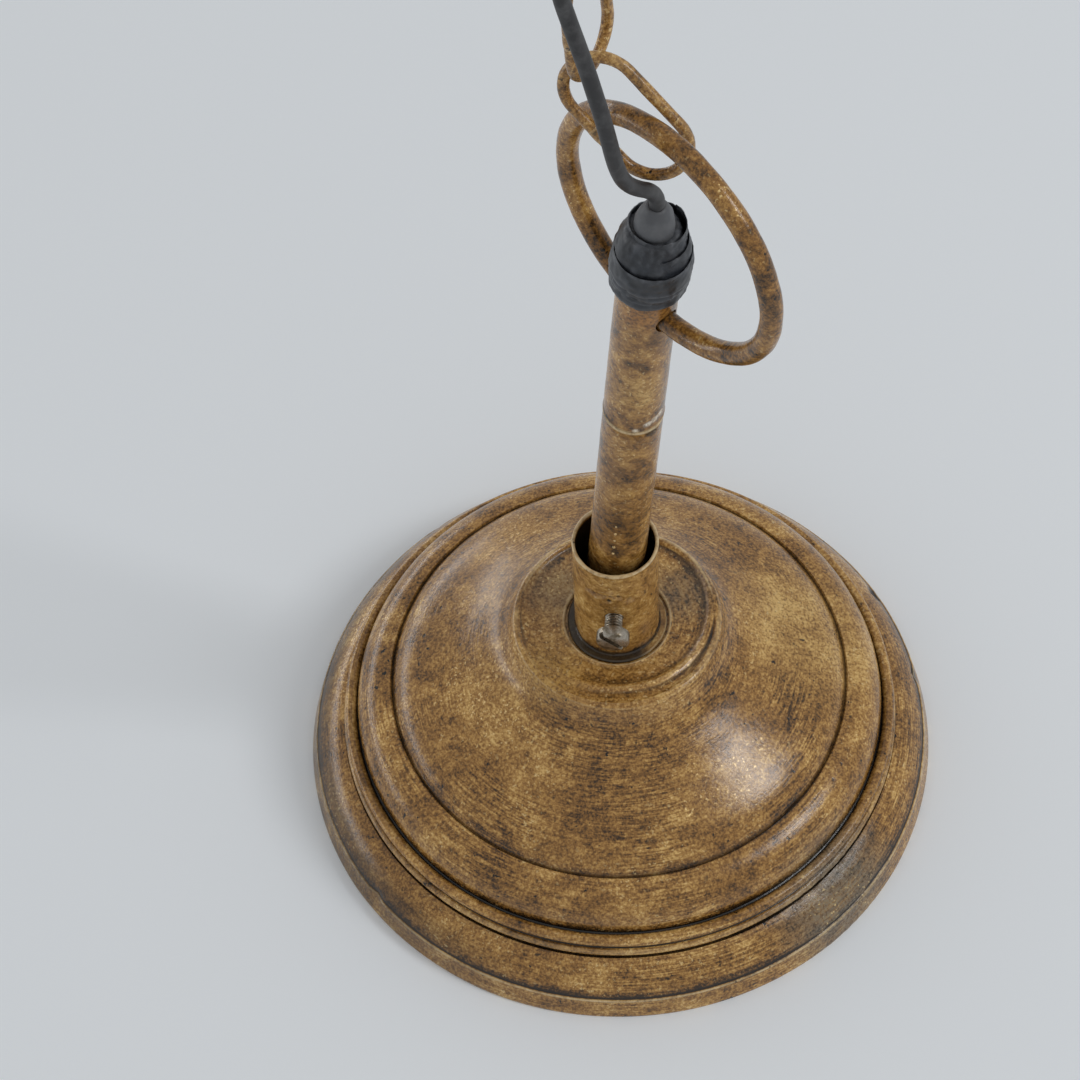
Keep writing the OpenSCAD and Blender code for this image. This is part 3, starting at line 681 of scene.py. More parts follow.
def aged_brass(name, place=None, tone=0.0, patches=60, streaks=0.0, grains=0.42, marks=(), painted_shade=None):
    """Old lacquered brass: grainy browns and ochre, gold flecks, dark pits, dirt with painted shade in the
    hollows, and painted shade spread round them.

    A mark is its centre and reach in millimetres, how far it lightens, its colour and that colour's share.
    """
    tint = bpy.context.scene.lamp_colours
    made = Finish(name, place)
    broad = made.ramp(made.noise(patches, 4, 0.6, 0.4), 0.36, 0.64)
    middle = made.ramp(made.noise(5 * patches, 6, 0.7, 0.3), 0.36, 0.64)
    grain = made.ramp(made.noise(1500, 4, 0.7), 0.38, 0.62)
    lines = made.times(made.ramp(made.turning_marks(6.0, 1400, 0.6), 0.40, 0.60, -0.5, 0.5),
                       made.ramp(made.noise(45, 2), 0.42, 0.62, 0.05, 0.8))
    spread_relief, relief = made.stored("spread_relief"), made.stored("relief")
    zones = [(made.near(centre, reach), *look) for centre, reach, *look in marks]
    rest = (1 - grains) / 2
    # Around hollows the level drops, as painted shade; on rounded crests it rises a little, as wear.
    level = made.total(
        tone, (broad, rest), (middle, rest - 0.02), (grain, grains), (lines, streaks),
        (made.ramp(spread_relief, 0.015, 0.16, 0.0, -0.34), 1), (made.ramp(spread_relief, -0.015, -0.16, 0.0, 0.05), 1),
        *((near, lighter) for near, lighter, _, _ in zones))
    ramp = made.node("ValToRGB", {0: level})
    stops = ramp.color_ramp.elements
    stops[0].position, stops[1].position = 0.08, 0.95
    stops.new(0.40)
    stops.new(0.66)
    for stop, shade in zip(stops, (tint.brass_dark, tint.brass_brown, tint.brass_tan, tint.brass_gold)):
        stop.color = (*shade, 1)
    colour, rough = ramp.outputs[0], 0.0
    for near, _, shade, share in zones:
        near = made.times(near, made.ramp(grain, 0.2, 0.8, 0.4, 1.0))
        colour = made.mix(made.times(near, share), colour, shade)
        rough = made.most(rough, near)
    # Hollows darken to near-black: partly dirt, partly painted shade in grooves and creases.
    hollow = made.times(made.ramp(relief, 0.10, 0.42), made.ramp(grain, 0.0, 0.6, 0.75, 1.0))
    worn = made.times(made.ramp(relief, -0.42, -0.90), made.ramp(middle, 0.1, 0.7, 0.4, 1.0))
    fleck = made.times(made.ramp(made.noise(1300, 2, 0.5), 0.62, 0.68), made.ramp(broad, 0.30, 0.9))
    pits = made.times(made.ramp(made.noise(620, 2, 0.5), 0.67, 0.72), made.ramp(broad, 0.75, 0.25))
    colour = made.mix(made.times(worn, 0.85), colour, tint.brass_worn)
    colour = made.mix(made.times(fleck, 0.85), colour, FLECK_GOLD)
    dark = made.most(made.times(hollow, 0.95), pits)
    # The optional mask added to the dark here is painted shade.
    if painted_shade:
        dark = made.most(dark, painted_shade(made))
    if marks:
        dark = made.most(dark, made.times(rough, made.ramp(grain, 0.32, 0.10, 0.0, 0.85)))
    made.set(Base_Color=made.mix(dark, colour, GRIME_AND_SHADE), Metallic=made.times(fleck, 0.8),
             Roughness=made.ramp(middle, 0.0, 1.0, 0.55, 0.42), Specular_IOR_Level=0.0,
             Coat_Weight=1.0, Coat_Roughness=0.22, Coat_IOR=1.5)
    height = made.total(middle, (grain, made.ramp(rough, 0.0, 1.0, 0.35, 1.6)), (lines, 1.0), (pits, -1.0))
    made.bump(height, 0.5, 0.12, coat=0.16)
    return made.material


def collar_painted_shade(made):
    """Painted shade inside the collar's mouth and on its shoulder, weaker on the right, where the shoulder
    shines.
    """
    height = made.axis("Z")
    inside = made.times(made.ramp(made.radius(), 9.2 * MM, 8.95 * MM),
                        made.ramp(height, 86.9 * MM, 86.2 * MM))
    side = made.ramp(made.axis("X"), 7.5 * MM, 4.5 * MM, 0.35, 1.0)
    shoulder = made.times(made.ramp(height, 56.2 * MM, 55.2 * MM), side)
    return made.times(made.most(inside, shoulder), 0.93)


def rim_painted_shade(made):
    """Painted shade on the rim's slope, darkest on the left, broken up by noise."""
    side = made.ramp(made.axis("X"), -25 * MM, -60 * MM, 0.0, 0.62)
    slope = made.times(made.ramp(made.axis("Z"), 12.0 * MM, 9.5 * MM), side)
    return made.times(slope, made.ramp(made.noise(160, 4, 0.6), 0.30, 0.55, 0.45, 1.0))


def plated_steel(name, place=None):
    """Bright plated steel with faint dull patches, fine scratches, and dirt with painted shade in its
    hollows.
    """
    made = Finish(name, place)
    dull = made.noise(600, 5, 0.6)
    shade = made.mix(made.ramp(dull, 0.42, 0.62), bpy.context.scene.lamp_colours.steel, (0.16, 0.125, 0.08))
    # Hollows darken: partly dirt, partly painted shade.
    shade = made.mix(made.ramp(made.stored("relief"), 0.04, 0.30, 0.0, 0.9), shade, (0.03, 0.024, 0.018))
    made.set(Base_Color=shade, Metallic=1.0, Roughness=made.ramp(dull, 0.3, 0.7, 0.20, 0.45))
    made.bump(made.turning_marks(3.0, 5000), 0.2, 0.05)
    return made.material


def bright_brass(name):
    """New brass of the contacts and terminals."""
    made = Finish(name)
    dull = made.noise(500, 5, 0.6)
    shade = made.mix(made.ramp(dull, 0.45, 0.7), (0.72, 0.52, 0.25), (0.42, 0.28, 0.12))
    made.set(Base_Color=shade, Metallic=1.0, Roughness=made.ramp(dull, 0.3, 0.7, 0.22, 0.45))
    made.bump(made.noise(1800, 3), 0.2, 0.05)
    return made.material


def insulation(name, colour, rough=0.45, bumps=900, depth=0.1):
    """Soft plastic or rubber, slightly uneven and dusty."""
    made = Finish(name)
    patchiness = made.noise(260, 5, 0.6)
    pale = [c + (0.30 - c) * 0.22 for c in colour]
    made.set(Base_Color=made.mix(made.ramp(patchiness, 0.45, 0.75), colour, pale),
             Roughness=made.ramp(patchiness, 0.3, 0.7, rough - 0.06, rough + 0.12))
    made.bump(made.noise(bumps), 0.3, depth)
    return made.material


def glazed(name):
    """White glazed porcelain with faint speckles."""
    made = Finish(name)
    speck = made.times(made.ramp(made.noise(900, 3, 0.5), 0.68, 0.76), 0.5)
    made.set(Base_Color=made.mix(speck, bpy.context.scene.lamp_colours.porcelain, (0.30, 0.24, 0.16)),
             Roughness=made.ramp(made.noise(200, 3), 0.3, 0.7, 0.12, 0.25), Coat_Weight=0.5)
    made.bump(made.noise(150, 3), 0.15, 0.2)
    return made.material


def tape_finish(name):
    """Black tape: a painted bluish sheen in its colour, in patches, and paler grey on its crests."""
    made = Finish(name, stem_place())
    patchiness = made.noise(240, 6, 0.65, 0.6)
    crest = made.times(made.ramp(made.stored("relief"), -0.05, -0.6), made.ramp(patchiness, 0.3, 0.6))
    # The bluish tint is a painted sheen, laid on in patches.
    colour = made.mix(made.ramp(patchiness, 0.42, 0.72, 0.0, 0.6), bpy.context.scene.lamp_colours.tape,
                      (0.050, 0.058, 0.074))
    made.set(Base_Color=made.mix(made.times(crest, 0.4), colour, (0.20, 0.21, 0.23)),
             Roughness=made.ramp(patchiness, 0.3, 0.7, 0.30, 0.52))
    made.bump(made.noise(900, 4, 0.6), 0.3, 0.12)
    return made.material


# The pieces

class LAMP_OT_camera(bpy.types.Operator):
    """Sets the camera where the lamp is seen from above and in front."""

    bl_idname = "lamp.camera"
    bl_label = "Camera"

    def execute(self, context):
        stage = context.scene.lamp_stage
        data = bpy.data.cameras.new("camera")
        data.lens = stage.lens
        data.sensor_width = 36
        camera = bpy.data.objects.new("camera", data)
        context.scene.collection.objects.link(camera)
        look = Matrix.Rotation(pi / 2 - stage.elevation, 4, "X") @ Matrix.Rotation(-stage.roll, 4, "Z")
        camera.matrix_world = Matrix.Translation(stage.eye) @ look
        context.scene.camera = camera
        return {"FINISHED"}


CORD_ACROSS = 3.2 * MM
CORD_ROUTE = [tuple(value * MM for value in point) for point in (
    (9.2, -4.4, 209.0), (9.5, -4.6, 213.0), (9.5, -4.8, 215.2), (9.0, -5.3, 217.7), (7.8, -6.3, 220.3),
    (6.1, -7.6, 222.7), (4.3, -8.9, 225.6), (2.9, -10.1, 229.1), (1.9, -11.1, 233.3),
    (1.1, -11.7, 238.0), (0.3, -11.9, 243.5), (-0.7, -11.6, 249.5), (-1.9, -11.0, 255.5),
    (-3.2, -10.1, 261.5), (-4.7, -9.0, 267.6), (-6.1, -8.0, 273.1), (-7.3, -7.3, 278.5),
    (-8.0, -7.0, 283.3), (-8.3, -6.9, 287.0), (-8.3, -6.9, 290.0),
)]


class LAMP_OT_cord(bpy.types.Operator):
    """Lays the cord from its boot past the ring and chain to its connector."""

    bl_idname = "lamp.cord"
    bl_label = "Cord"

    def execute(self, context):
        piece = round_curve("sheathed_cord", CORD_ACROSS / MM / 2, 6)
        piece.data.resolution_u = 6
        line = piece.data.splines.new("BEZIER")
        line.bezier_points.add(len(CORD_ROUTE) - 1)
        for spot, point in zip(line.bezier_points, CORD_ROUTE):
            spot.co = point
            spot.handle_left_type = spot.handle_right_type = "AUTO"
        finish_piece(piece, "stem", ["cord"],
                     insulation("cord sheath", context.scene.lamp_colours.cord, 0.5, 700, 0.15))
        return {"FINISHED"}


RIM_CHIPS = ((63.2, 31.7, 7.2), (70.8, 9.7, 5.7))
RIM_DENTS = ((-58.7, -40.9, 5.5), (-40, 58, 5.6))


class LAMP_OT_shade(bpy.types.Operator):
    """Spins the bell shade, with its faint waves, dents and chipped rim."""

    bl_idname = "lamp.shade"
    bl_label = "Shade"

    def execute(self, context):
        shade = context.scene.lamp_shade
        piece = turned("spun_shade", shade_outline(shade), steps=320)
        for share, height in ((melted, -0.7), (basin, -0.4), (ridge, 0.65)):
            swell(piece, share, height)
        lumpy(piece, 26, shade.lumps / MM)
        lumpy(piece, 1.6, 0.55, 1, weigh(piece, "pitted", pitted))
        for spot in RIM_CHIPS + RIM_DENTS:
            dent(piece, spot, 0.7, 2.6, drop=20)
        for vertex in piece.data.vertices:
            vertex.co.z = max(vertex.co.z, 0.0)
        marks = (
            ((43, 6, 34), 24, 0.20, (0.62, 0.40, 0.14), 0.25),
            (PITTED_SPOT, 21, -0.05, (0.17, 0.155, 0.12), 0.8),
            ((-16, -13, 55), 11, 0.10, (0.42, 0.22, 0.03), 0.5),
            ((-12, 9, 56), 11, 0.08, (0.24, 0.20, 0.14), 0.5),
            ((15, 6, 56), 10, 0.0, (0.20, 0.17, 0.12), 0.5),
            (RIM_CHIPS[0], 3.0, -0.5, CHIP_BLACK, 0.95),
            (RIM_CHIPS[1], 2.6, -0.5, CHIP_BLACK, 0.95),
        )
        # The shade's brass carries painted shade on the left of the rim's slope.
        finish_piece(piece, "shade", ["shade"],
                     aged_brass("antique brass", streaks=0.44, marks=marks, painted_shade=rim_painted_shade), 50, 900)
        return {"FINISHED"}


class LAMP_OT_collar(bpy.types.Operator):
    """Turns the collar tube, with its soldered shoulder, rolled mouth, dents and screw hole."""

    bl_idname = "lamp.collar"
    bl_label = "Collar"

    def execute(self, context):
        shade = context.scene.lamp_shade
        radius, wall, top = shade.collar_r / MM, shade.collar_wall / MM, shade.mouth_z / MM
        low, shelf = COLLAR_LOW.z / MM, 53.75
        outline = [(radius - wall, low), (radius, low)]
        outline += raised(shelf, [(radius, 0), (11.0, 0), (11.2, 0.2), (11.2, 0.6), (10.9, 0.9),
                                  (radius + 0.3, 0.95), (radius, 1.3)])
        outline += rows(radius, shelf + 1.3, top - 1.1, 64)
        outline += arc((radius - 0.3, top - 0.35), 0.42, -20, 180, 8)
        outline += [(radius - wall, top - 1.4 - 4.0 * i) for i in range(8)]
        piece = turned("collar_tube", outline, steps=144)
        carve(piece, rod(2.05, 0, 20, screw_place()))
        lumpy(piece, 7, 0.35)
        creases = [(-6.6 + 0.55 * i, 79.0 + 0.25 * sin(1.7 * i), 0.42, 0.75) for i in range(14)]
        creases += [(-2.2, 77.6, 0.45, 1.3), (-4.6, 77.9, -0.30, 1.2), (2.6, 78.0, 0.30, 2.2),
                    (-1.8, 80.2, -0.25, 1.2)]
        for x, z, depth, reach in creases:
            dent(piece, (x, -sqrt(radius * radius - x * x), z), depth, reach)
        # The collar's brass carries painted shade in its mouth and on its shoulder.
        finish_piece(piece, "shade", ["collar"],
                     aged_brass("worn collar brass", tone=0.06, patches=110, grains=0.2, painted_shade=collar_painted_shade),
                     strongest=700)
        return {"FINISHED"}


class LAMP_OT_set_screw(bpy.types.Operator):
    """Cuts the slotted set screw, with its real thread."""

    bl_idname = "lamp.set_screw"
    bl_label = "Set screw"

    def execute(self, context):
        place = screw_place()
        head = turned("head", [(AXIS, 13.4), (3.4, 13.4), (3.65, 13.6), (3.7, 15.2), (3.55, 15.75),
                               (3.1, 15.95), (AXIS, 16.0)], steps=48)
        carve(head, block("slot", (-5, -0.6, 14.9), (5, 0.6, 17), place=turn(0, 0, -45)))
        thread = threaded("thread", 1.62, 2.0, 0.7, 6.6, 10)
        tip = turned("tip", [(AXIS, 6.11), (1.3, 6.11), (1.66, 6.6), (1.66, 13.6), (AXIS, 13.6)], steps=40)
        piece = settle(join("slotted_set_screw", [head, thread, tip]), place)
        finish_piece(piece, "set_screw", ["set_screw"],
                     plated_steel("screw steel", place), 35, 900)
        return {"FINISHED"}


SOLDER, DARK_SPOT = (0.80, 0.76, 0.66), (0.04, 0.02, 0.01)
STEM_MARKS = (
    ((2.4, -5.9, 57.0), 1.2, 0.3, SOLDER, 0.95), ((3.9, -5.0, 57.6), 1.3, 0.3, SOLDER, 0.95),
    ((5.1, -3.8, 58.2), 1.2, 0.3, SOLDER, 0.95), ((0.0, -6.3, 55.3), 0.9, 0.3, (0.80, 0.74, 0.60), 0.95),
    ((-3.2, -5.5, 79.5), 1.6, -0.25, (0.03, 0.02, 0.01), 0.4),
    ((0.5, -6.3, 78.0), 1.7, -0.25, (0.06, 0.03, 0.01), 0.4), ((3.5, -5.3, 53.0), 1.8, -0.4, DARK_SPOT, 0.6),
    ((-1.2, -6.2, 97.5), 7.0, 0.05, (0.52, 0.22, 0.05), 0.5),
    ((0.0, -6.3, 68.0), 8.0, 0.12, (0.50, 0.30, 0.12), 0.3),
)
SOLDER_BEADS = ((5.2, 0.30), (7.9, 0.36), (10.6, 0.26), (13.4, 0.34), (16.4, 0.24))  # height and radius


class LAMP_OT_stem(bpy.types.Operator):
    """Draws the stem's two tubes, with the seam between them and the ring's cross hole."""

    bl_idname = "lamp.stem"
    bl_label = "Stem"

    def execute(self, context):
        stem, chain = context.scene.lamp_stem, context.scene.lamp_chain
        place = stem_place()
        outer, bore = stem.radius / MM, (stem.radius - stem.wall) / MM
        seam, up, down = stem.seam / MM, stem.up / MM, stem.down / MM
        brass = aged_brass("stem brass", place, tone=-0.12, patches=75, grains=0.2, marks=STEM_MARKS)
        lower = [(bore, seam - 0.1), (bore, -down), (outer, -down)] + rows(outer, -down, seam - 1.2, 46)
        lower += [(outer + 0.08, seam - 0.9), (outer + 0.1, seam - 0.5), (outer - 0.05, seam - 0.1)]
        upper = [(bore, up), (bore, seam + 0.1), (outer, seam + 0.1), (outer + 0.14, seam + 0.4),
                 (outer, seam + 0.9)] + rows(outer, seam + 0.9, up, 40)
        middle = stem.radius - stem.wall / 2
        bow = chain.ring_r - sqrt(chain.ring_r**2 - middle**2)
        def drawn_tube(name, outline):
            tube = turned(name, outline, steps=72)
            lumpy(tube, 9, 0.16)
            return settle(tube, place)

        finish_piece(drawn_tube("lower_tube", lower), "stem", ["lower_stem"], brass,
                     strongest=500)
        beads = []
        for height, radius in SOLDER_BEADS:
            deselect()
            bpy.ops.mesh.primitive_ico_sphere_add(subdivisions=2, radius=radius * MM)
            spot = turn(0, 0, -106) @ Vector((outer * MM, 0, height * MM))
            beads.append(settle(bpy.context.object, Matrix.Translation(spot)))
        finish_piece(settle(join("solder_beads", beads), place), "stem", [],
                     bright_brass("solder gold"), 60)
        tube = drawn_tube("upper_tube", upper)
        carve(tube, rod(stem.hole_r / MM, -15, 15, hole_place() @ lift(bow) @ turn(0, 90, 0)))
        finish_piece(tube, "stem", ["upper_stem"], brass, strongest=500)
        return {"FINISHED"}


def wound_tape(name, low, radius, rise, width, slant, pitch, turns, tilt, start):
    """A strip of tape wound in overlapping turns round Z, with its own thickness."""
    piece = drawn_line(name, [(radius - slant * i / 6, 0, rise + width * i / 6) for i in range(7)])
    apply(piece, "SCREW", angle=2 * pi * turns, screw_offset=pitch * turns * MM, iterations=1,
          steps=int(64 * turns), render_steps=int(64 * turns))
    apply(piece, "SOLIDIFY", thickness=0.28 * MM, offset=0)
    return settle(piece, lift(low * MM) @ turn(tilt, 0, start))


class LAMP_OT_tape(bpy.types.Operator):
    """Winds the black tape over the stem's top, with its folds and its open upper end."""

    bl_idname = "lamp.tape"
    bl_label = "Tape"

    def execute(self, context):
        low = context.scene.lamp_stem.tape_low / MM + 2.6
        core = [(6.42, 0.3), (7.0, 0.2), (7.5, 1.4), (7.7, 5)]
        core += bezier([(7.9, 7.5), (8.0, 12.5), (6.4, 15.0), (5.6, 17.4)], 8)
        core += [(4.6, 18.2), (2.9, 17.6), (2.6, 20.3), (1.5, 20.3), (1.5, 10.1), (6.42, 10.1)]
        piece = join("tape_winding", [
            turned("core", raised(low, core), steps=64),
            wound_tape("low", low, 7.9, 0.0, 5.4, 0.1, 1.6, 1.7, 2.0, 20),
            wound_tape("middle", low, 8.2, 4.4, 5.8, 0.5, 1.5, 1.6, -3.0, 200),
            wound_tape("upper", low, 7.9, 8.6, 6.0, 1.7, 1.1, 1.4, 3.0, 80),
            wound_tape("mouth", low, 6.2, 13.4, 4.8, 0.5, 0.5, 1.25, -3.5, 320)])
        apply(piece, "SUBSURF", levels=1, render_levels=1)
        lumpy(piece, 3.0, 0.9, 3)
        settle(piece, stem_place())
        finish_piece(piece, "stem", ["tape_wrap"], tape_finish("wound tape"), 50, 900)
        return {"FINISHED"}


class LAMP_OT_boot(bpy.types.Operator):
    """Shapes the grey twist that the cord leaves the tape through."""

    bl_idname = "lamp.boot"
    bl_label = "Boot"

    def execute(self, context):
        outline = [(1.62, 5.0), (1.62, -2.6), (4.0, -2.6), (4.1, -1.6)]
        outline += bezier([(4.0, -0.6), (3.9, 1.4), (3.1, 3.4), (1.98, 4.9)], 10)
        low = context.scene.lamp_stem.tape_low / MM + 23
        piece = turned("twisted_boot", raised(low, outline), steps=48)
        lumpy(piece, 2.2, 0.4)
        settle(piece, stem_place())
        finish_piece(piece, "stem", ["cord_boot"],
                     insulation("grey twist", context.scene.lamp_colours.boot, 0.5, 800, 0.2), 45, 900)
        return {"FINISHED"}


class LAMP_OT_ring(bpy.types.Operator):
    """Bends the pull ring, slightly uneven from its bending."""

    bl_idname = "lamp.ring"
    bl_label = "Pull ring"

    def execute(self, context):
        chain = context.scene.lamp_chain
        place = ring_place()
        deselect()
        bpy.ops.mesh.primitive_torus_add(major_radius=chain.ring_r, minor_radius=chain.rod_r,
                                         major_segments=240, minor_segments=32)
        piece = settle(bpy.context.object, turn(90, 0, 0))
        piece.name = "round_pull_ring"
        lumpy(piece, 8, 0.35)
        settle(piece, place)
        finish_piece(piece, "ring", ["pull_ring"],
                     aged_brass("ring brass", place, tone=-0.14, patches=90, grains=0.3), 60, 900)
        return {"FINISHED"}


def link_line(chain):
    """The middle line of a chain link, in its own frame."""
    bow, leg = chain.link_w / MM / 2, (chain.link_len - chain.link_w) / MM / 2
    top = [(x, 0, z) for x, z in arc((0, leg), bow, 0, 180, 20)]
    low = [(x, 0, z) for x, z in arc((0, -leg), bow, 180, 360, 20)]
    side = [(-bow, 0, leg - 2 * leg * i / 6) for i in range(1, 6)]
    return top + side + low + [(bow, 0, -z) for _, _, z in side]


class LAMP_OT_links(bpy.types.Operator):
    """Bends the two chain links and brazes their ends together."""

    bl_idname = "lamp.links"
    bl_label = "Chain links"

    def execute(self, context):
        chain = context.scene.lamp_chain
        for number, place in ((1, link_1_place()), (2, link_2_place())):
            wire = bent_wire("wire", link_line(chain), chain.wire_r / MM, closed=True)
            joint = turned("joint", [(1.1, -2.0), (1.24, -1.5), (1.32, -0.4), (1.3, 0.5), (1.22, 1.6),
                                     (1.1, 2.0)], Matrix.Translation((chain.link_w / 2, 0, 0)), steps=24)
            piece = join(f"brazed_link_{number}", [wire, joint])
            lumpy(piece, 5, 0.22)
            settle(piece, place)
            finish_piece(piece, f"link_{number}", [f"chain_link_{number}"],
                         aged_brass(f"link brass {number}", place, tone=-0.08, patches=130), 60, 900)
        return {"FINISHED"}


class LAMP_OT_hook(bpy.types.Operator):
    """Bends the ceiling hook and cuts its shank's thread."""

    bl_idname = "lamp.hook"
    bl_label = "Ceiling hook"

    def execute(self, context):
        chain = context.scene.lamp_chain
        bend, crook = chain.hook_r / MM, 20
        crook_r = bend * sin(radians(crook)) / (1 - sin(radians(crook)))
        foot = (bend + crook_r) * cos(radians(crook))
        line = arc((0, 0), bend, 385, 90 + crook, 40)
        line += arc((-crook_r, foot), crook_r, crook - 90, 0, 10)[1:] + [(0, foot + 4.2)]
        flange = [(AXIS, 4), (4.6, 4), (5.0, 4.4), (5.0, 5.1), (4.6, 5.5), (AXIS, 5.5)]
        top = 4.5 + chain.shank_len / MM
        shank = [(AXIS, 5.4), (1.9, 5.4), (1.9, top), (1.4, top + 1), (AXIS, top + 1)]
        piece = join("threaded_hook", [
            bent_wire("bend", [(x, 0, z) for x, z in line], chain.hook_wire_r / MM),
            turned("flange", raised(foot, flange), steps=48),
            turned("shank", raised(foot, shank), steps=36),
            threaded("thread", 1.88, chain.shank_r / MM, 1.25, foot + 6.2, 11)])
        settle(piece, hook_place())
        finish_piece(piece, "hook", ["ceiling_hook"],
                     aged_brass("hook brass", tone=0.02, patches=110, streaks=0.1), strongest=900)
        return {"FINISHED"}


class LAMP_OT_lampholder(bpy.types.Operator):
    """Makes the lampholder's screw shell, casing, spring and centre contact."""

    bl_idname = "lamp.lampholder"
    bl_label = "Lampholder"

    def execute(self, context):
        place = stem_place()
        cap_top = 3 - context.scene.lamp_stem.down / MM
        insert_low = cap_top - 17
        shell_low = insert_low - 18

        pitch = 2.8
        wave = [(7.05 + 0.2 * cos(pi / 4 * i), 0, shell_low + 0.9 + pitch * i / 8) for i in range(9)]
        shell = screwed(drawn_line("shell", wave), pitch, 5, 64)
        apply(shell, "SOLIDIFY", thickness=0.3 * MM, offset=1)
        rim = [(7.25, 2.2), (7.25, 0.3), (7.6, 0), (8.2, 0), (8.2, 0.5), (7.55, 0.8), (7.5, 2.2)]
        top = [(7.45, -3.2), (7.45, -0.1), (5.2, -0.1), (5.2, -0.6), (7.0, -0.7), (7.1, -3.2)]
        shell = join("threaded_shell", [shell, turned("rim", raised(shell_low, rim), steps=64),
                                        turned("top", raised(insert_low, top), steps=64)])
        finish_piece(settle(mend_faces(shell), place), "stem", ["screw_shell"],
                     plated_steel("tinned shell", place), 45)

        foot = raised(shell_low, [(14.0, 1.6), (14.15, 1.2), (14.1, 0.6), (13.7, 0.4), (13.2, 0.6)])
        skirt = [(14.0, cap_top - 14.05)] + foot + [(13.2, cap_top - 14.05)]
        cap = [(6.38, 0), (8.3, 0), (8.55, -0.25), (8.55, -2.6)]
        cap += bezier([(8.95, -3), (11.5, -3.4), (14, -5), (14, -8)], 12)
        cap += [(14.15, -12.6), (14.15, -13.6), (14.0, -14), (13.2, -14)]
        cap += bezier([(13.2, -7.6), (12.8, -5.4), (11, -4.3), (8.75, -3.9)], 10) + [(6.38, -3.7)]
        casing = aged_brass("casing brass", place, tone=0.05, patches=80, streaks=0.3)
        for name, outline, node in (("skirt_tube", skirt, "lampholder_skirt"),
                                    ("casing_cap", raised(cap_top, cap), "lampholder_cap")):
            finish_piece(turned(name, outline, place), "stem", [node], casing, strongest=700)

        coil = [(1.9 * cos(pi * i / 12), 1.9 * sin(pi * i / 12), insert_low + 0.1 + 2.75 * i / 96)
                for i in range(97)]
        spring = bent_wire("coiled_spring", coil, 0.22, place=place, sides=3)
        finish_piece(spring, "stem", ["contact_spring"],
                     plated_steel("spring steel", place), 60)
        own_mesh(spring)

        disc = [(AXIS, -1.2), (1.4, -1.2), (2.9, -0.95), (3.2, -0.6), (3.2, -0.2), (1.1, -0.2), (1.1, 3.7),
                (0.8, 3.99), (AXIS, 3.99)]
        finish_piece(turned("domed_contact", raised(insert_low, disc), place, 48), "centre_contact",
                     ["centre_contact"], bright_brass("contact brass"), 30)
        return {"FINISHED"}


class LAMP_OT_connector(bpy.types.Operator):
    """Moulds the white connector on the cord's far end."""

    bl_idname = "lamp.connector"
    bl_label = "Connector"

    def execute(self, context):
        piece = block("moulded_connector", (-7, -4, 0), (7, 4, 13), bevel=0.7)
        for x in (-3.4, 3.4):
            carve(piece, rod(1.9, 3, 15, Matrix.Translation((x * MM, 0, 0))))
            carve(piece, rod(1.4, 0, 6, Matrix.Translation((x * MM, 0, 10 * MM)) @ turn(90, 0, 0)))
        for y, top in ((-4.3, 8), (4.3, 15)):
            carve(piece, rod(0.9, -8, top, Matrix.Translation((0, y * MM, 0)), 32))
        settle(piece, Matrix.Translation(CORD_ROUTE[-1]) @ turn(0, 0, 42))
        finish_piece(piece, "stem", ["cord_connector"],
                     insulation("nylon", context.scene.lamp_colours.nylon, 0.35, 500, 0.08), 30)
        return {"FINISHED"}


class LAMP_OT_finishes(bpy.types.Operator):
    """Gives the pieces that keep their CAD shape their finishes."""

    bl_idname = "lamp.finishes"
    bl_label = "Finishes"

    def execute(self, context):
        tint = context.scene.lamp_colours
        for finish, nodes in (
                (aged_brass("hidden brass", tone=0.03, patches=90, streaks=0.3),
                 ("backing_plate", "collar_ring_nut", "stem_lock_nut")),
                (bright_brass("terminal brass"),
                 ("stem_sleeve", "terminal_blocks", "contact_rivet", "connector_tubes")),
                (plated_steel("small screw steel"), ("terminal_screws", "connector_screws")),
                (glazed("porcelain"), ("porcelain_insert", "shell_spacer")),
                (insulation("live wire", tint.live), ("live_wire",)),
                (insulation("neutral wire", tint.neutral), ("neutral_wire",))):
            for node in nodes:
                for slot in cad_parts[node].material_slots:
                    slot.material = finish
        return {"FINISHED"}


SKY_COLOUR = (0.97, 0.985, 1.0)


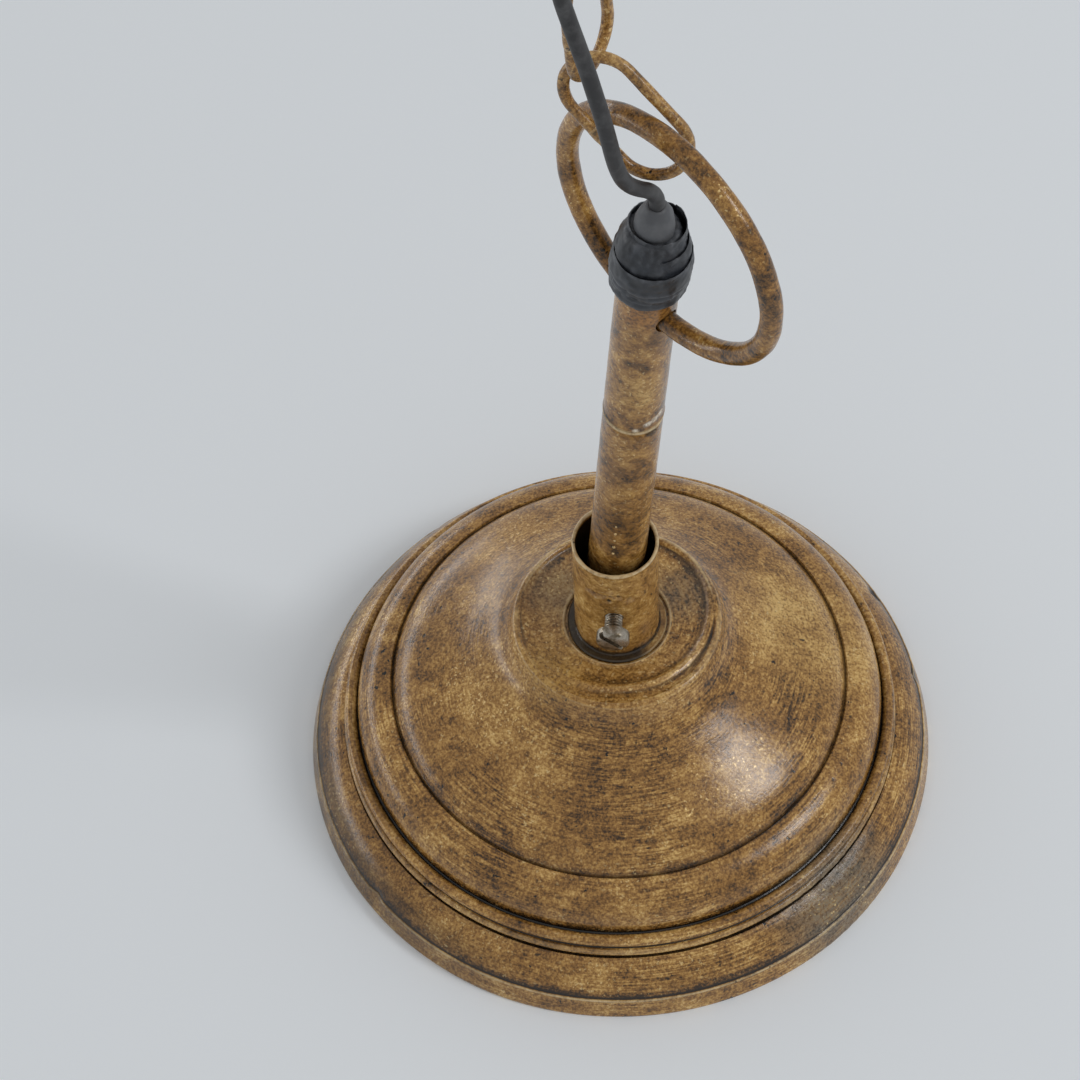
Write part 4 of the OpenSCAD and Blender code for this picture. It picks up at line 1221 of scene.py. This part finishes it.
class LAMP_OT_stage(bpy.types.Operator):
    """Lays the pale floor and sets the soft lights."""

    bl_idname = "lamp.stage"
    bl_label = "Floor and lights"

    def execute(self, context):
        stage = context.scene.lamp_stage
        deselect()
        bpy.ops.mesh.primitive_plane_add(size=24, location=(0, 0, 0))
        floor = bpy.context.object
        floor.name = "floor"
        made = Finish("pale floor")
        made.set(Base_Color=(*stage.floor, 1), Roughness=0.6)
        floor.data.materials.append(made.material)

        world = bpy.data.worlds.new("room")
        world.use_nodes = True
        backdrop = world.node_tree.nodes["Background"]
        backdrop.inputs["Strength"].default_value = stage.sky
        backdrop.inputs["Color"].default_value = (*SKY_COLOUR, 1)
        context.scene.world = world

        for name, place, size, power in (
                ("window", Vector((1.584, -0.48, 1.728)), (0.52, 0.70), stage.window),
                ("far window", Vector((-2.52, 1.62, 0.17)), (4.6, 0.32), stage.window * 1.8)):
            data = bpy.data.lights.new(name, "AREA")
            data.shape = "RECTANGLE"
            data.size, data.size_y = size
            data.energy = power
            data.color = SKY_COLOUR
            lamp = bpy.data.objects.new(name, data)
            lamp.matrix_world = Matrix.Translation(place) @ place.to_track_quat("Z", "Y").to_matrix().to_4x4()
            lamp.visible_camera = False
            context.scene.collection.objects.link(lamp)
        context.scene.view_settings.view_transform = "Standard"
        return {"FINISHED"}


GROUPS = (
    ("lamp_shade", LampShade), ("lamp_stem", LampStem), ("lamp_chain", LampChain),
    ("lamp_colours", LampColours), ("lamp_stage", LampStage),
)
PIECE_OPERATORS = (
    LAMP_OT_camera, LAMP_OT_cord, LAMP_OT_shade, LAMP_OT_collar, LAMP_OT_set_screw, LAMP_OT_stem,
    LAMP_OT_tape, LAMP_OT_boot, LAMP_OT_ring, LAMP_OT_links, LAMP_OT_hook, LAMP_OT_lampholder,
    LAMP_OT_connector, LAMP_OT_finishes, LAMP_OT_stage,
)


class LAMP_PT_panel(bpy.types.Panel):
    """Lists the lamp's pieces and their sizes."""

    bl_idname = "LAMP_PT_panel"
    bl_label = "Pendant Lamp"
    bl_space_type = "VIEW_3D"
    bl_region_type = "UI"
    bl_category = "Pendant Lamp"

    def draw(self, context):
        layout = self.layout
        for name, group in GROUPS:
            box = layout.box()
            box.label(text=group.__name__)
            for key in group.__annotations__:
                box.prop(getattr(context.scene, name), key)
        for operator in PIECE_OPERATORS:
            layout.operator(operator.bl_idname)


CLASSES = tuple(group for _, group in GROUPS) + PIECE_OPERATORS + (LAMP_PT_panel,)


def register():
    """Registers the classes and the settings that they read."""
    for cls in CLASSES:
        bpy.utils.register_class(cls)
    for name, group in GROUPS:
        setattr(bpy.types.Scene, name, PointerProperty(type=group))


def unregister():
    """Takes the settings and the classes away again."""
    for name, _ in reversed(GROUPS):
        delattr(bpy.types.Scene, name)
    for cls in reversed(CLASSES):
        bpy.utils.unregister_class(cls)


def main():
    """Builds everything in order."""
    register()
    for operator in PIECE_OPERATORS:
        group, call = operator.bl_idname.split(".")
        getattr(getattr(bpy.ops, group), call)()


if __name__ == "__main__":
    main()
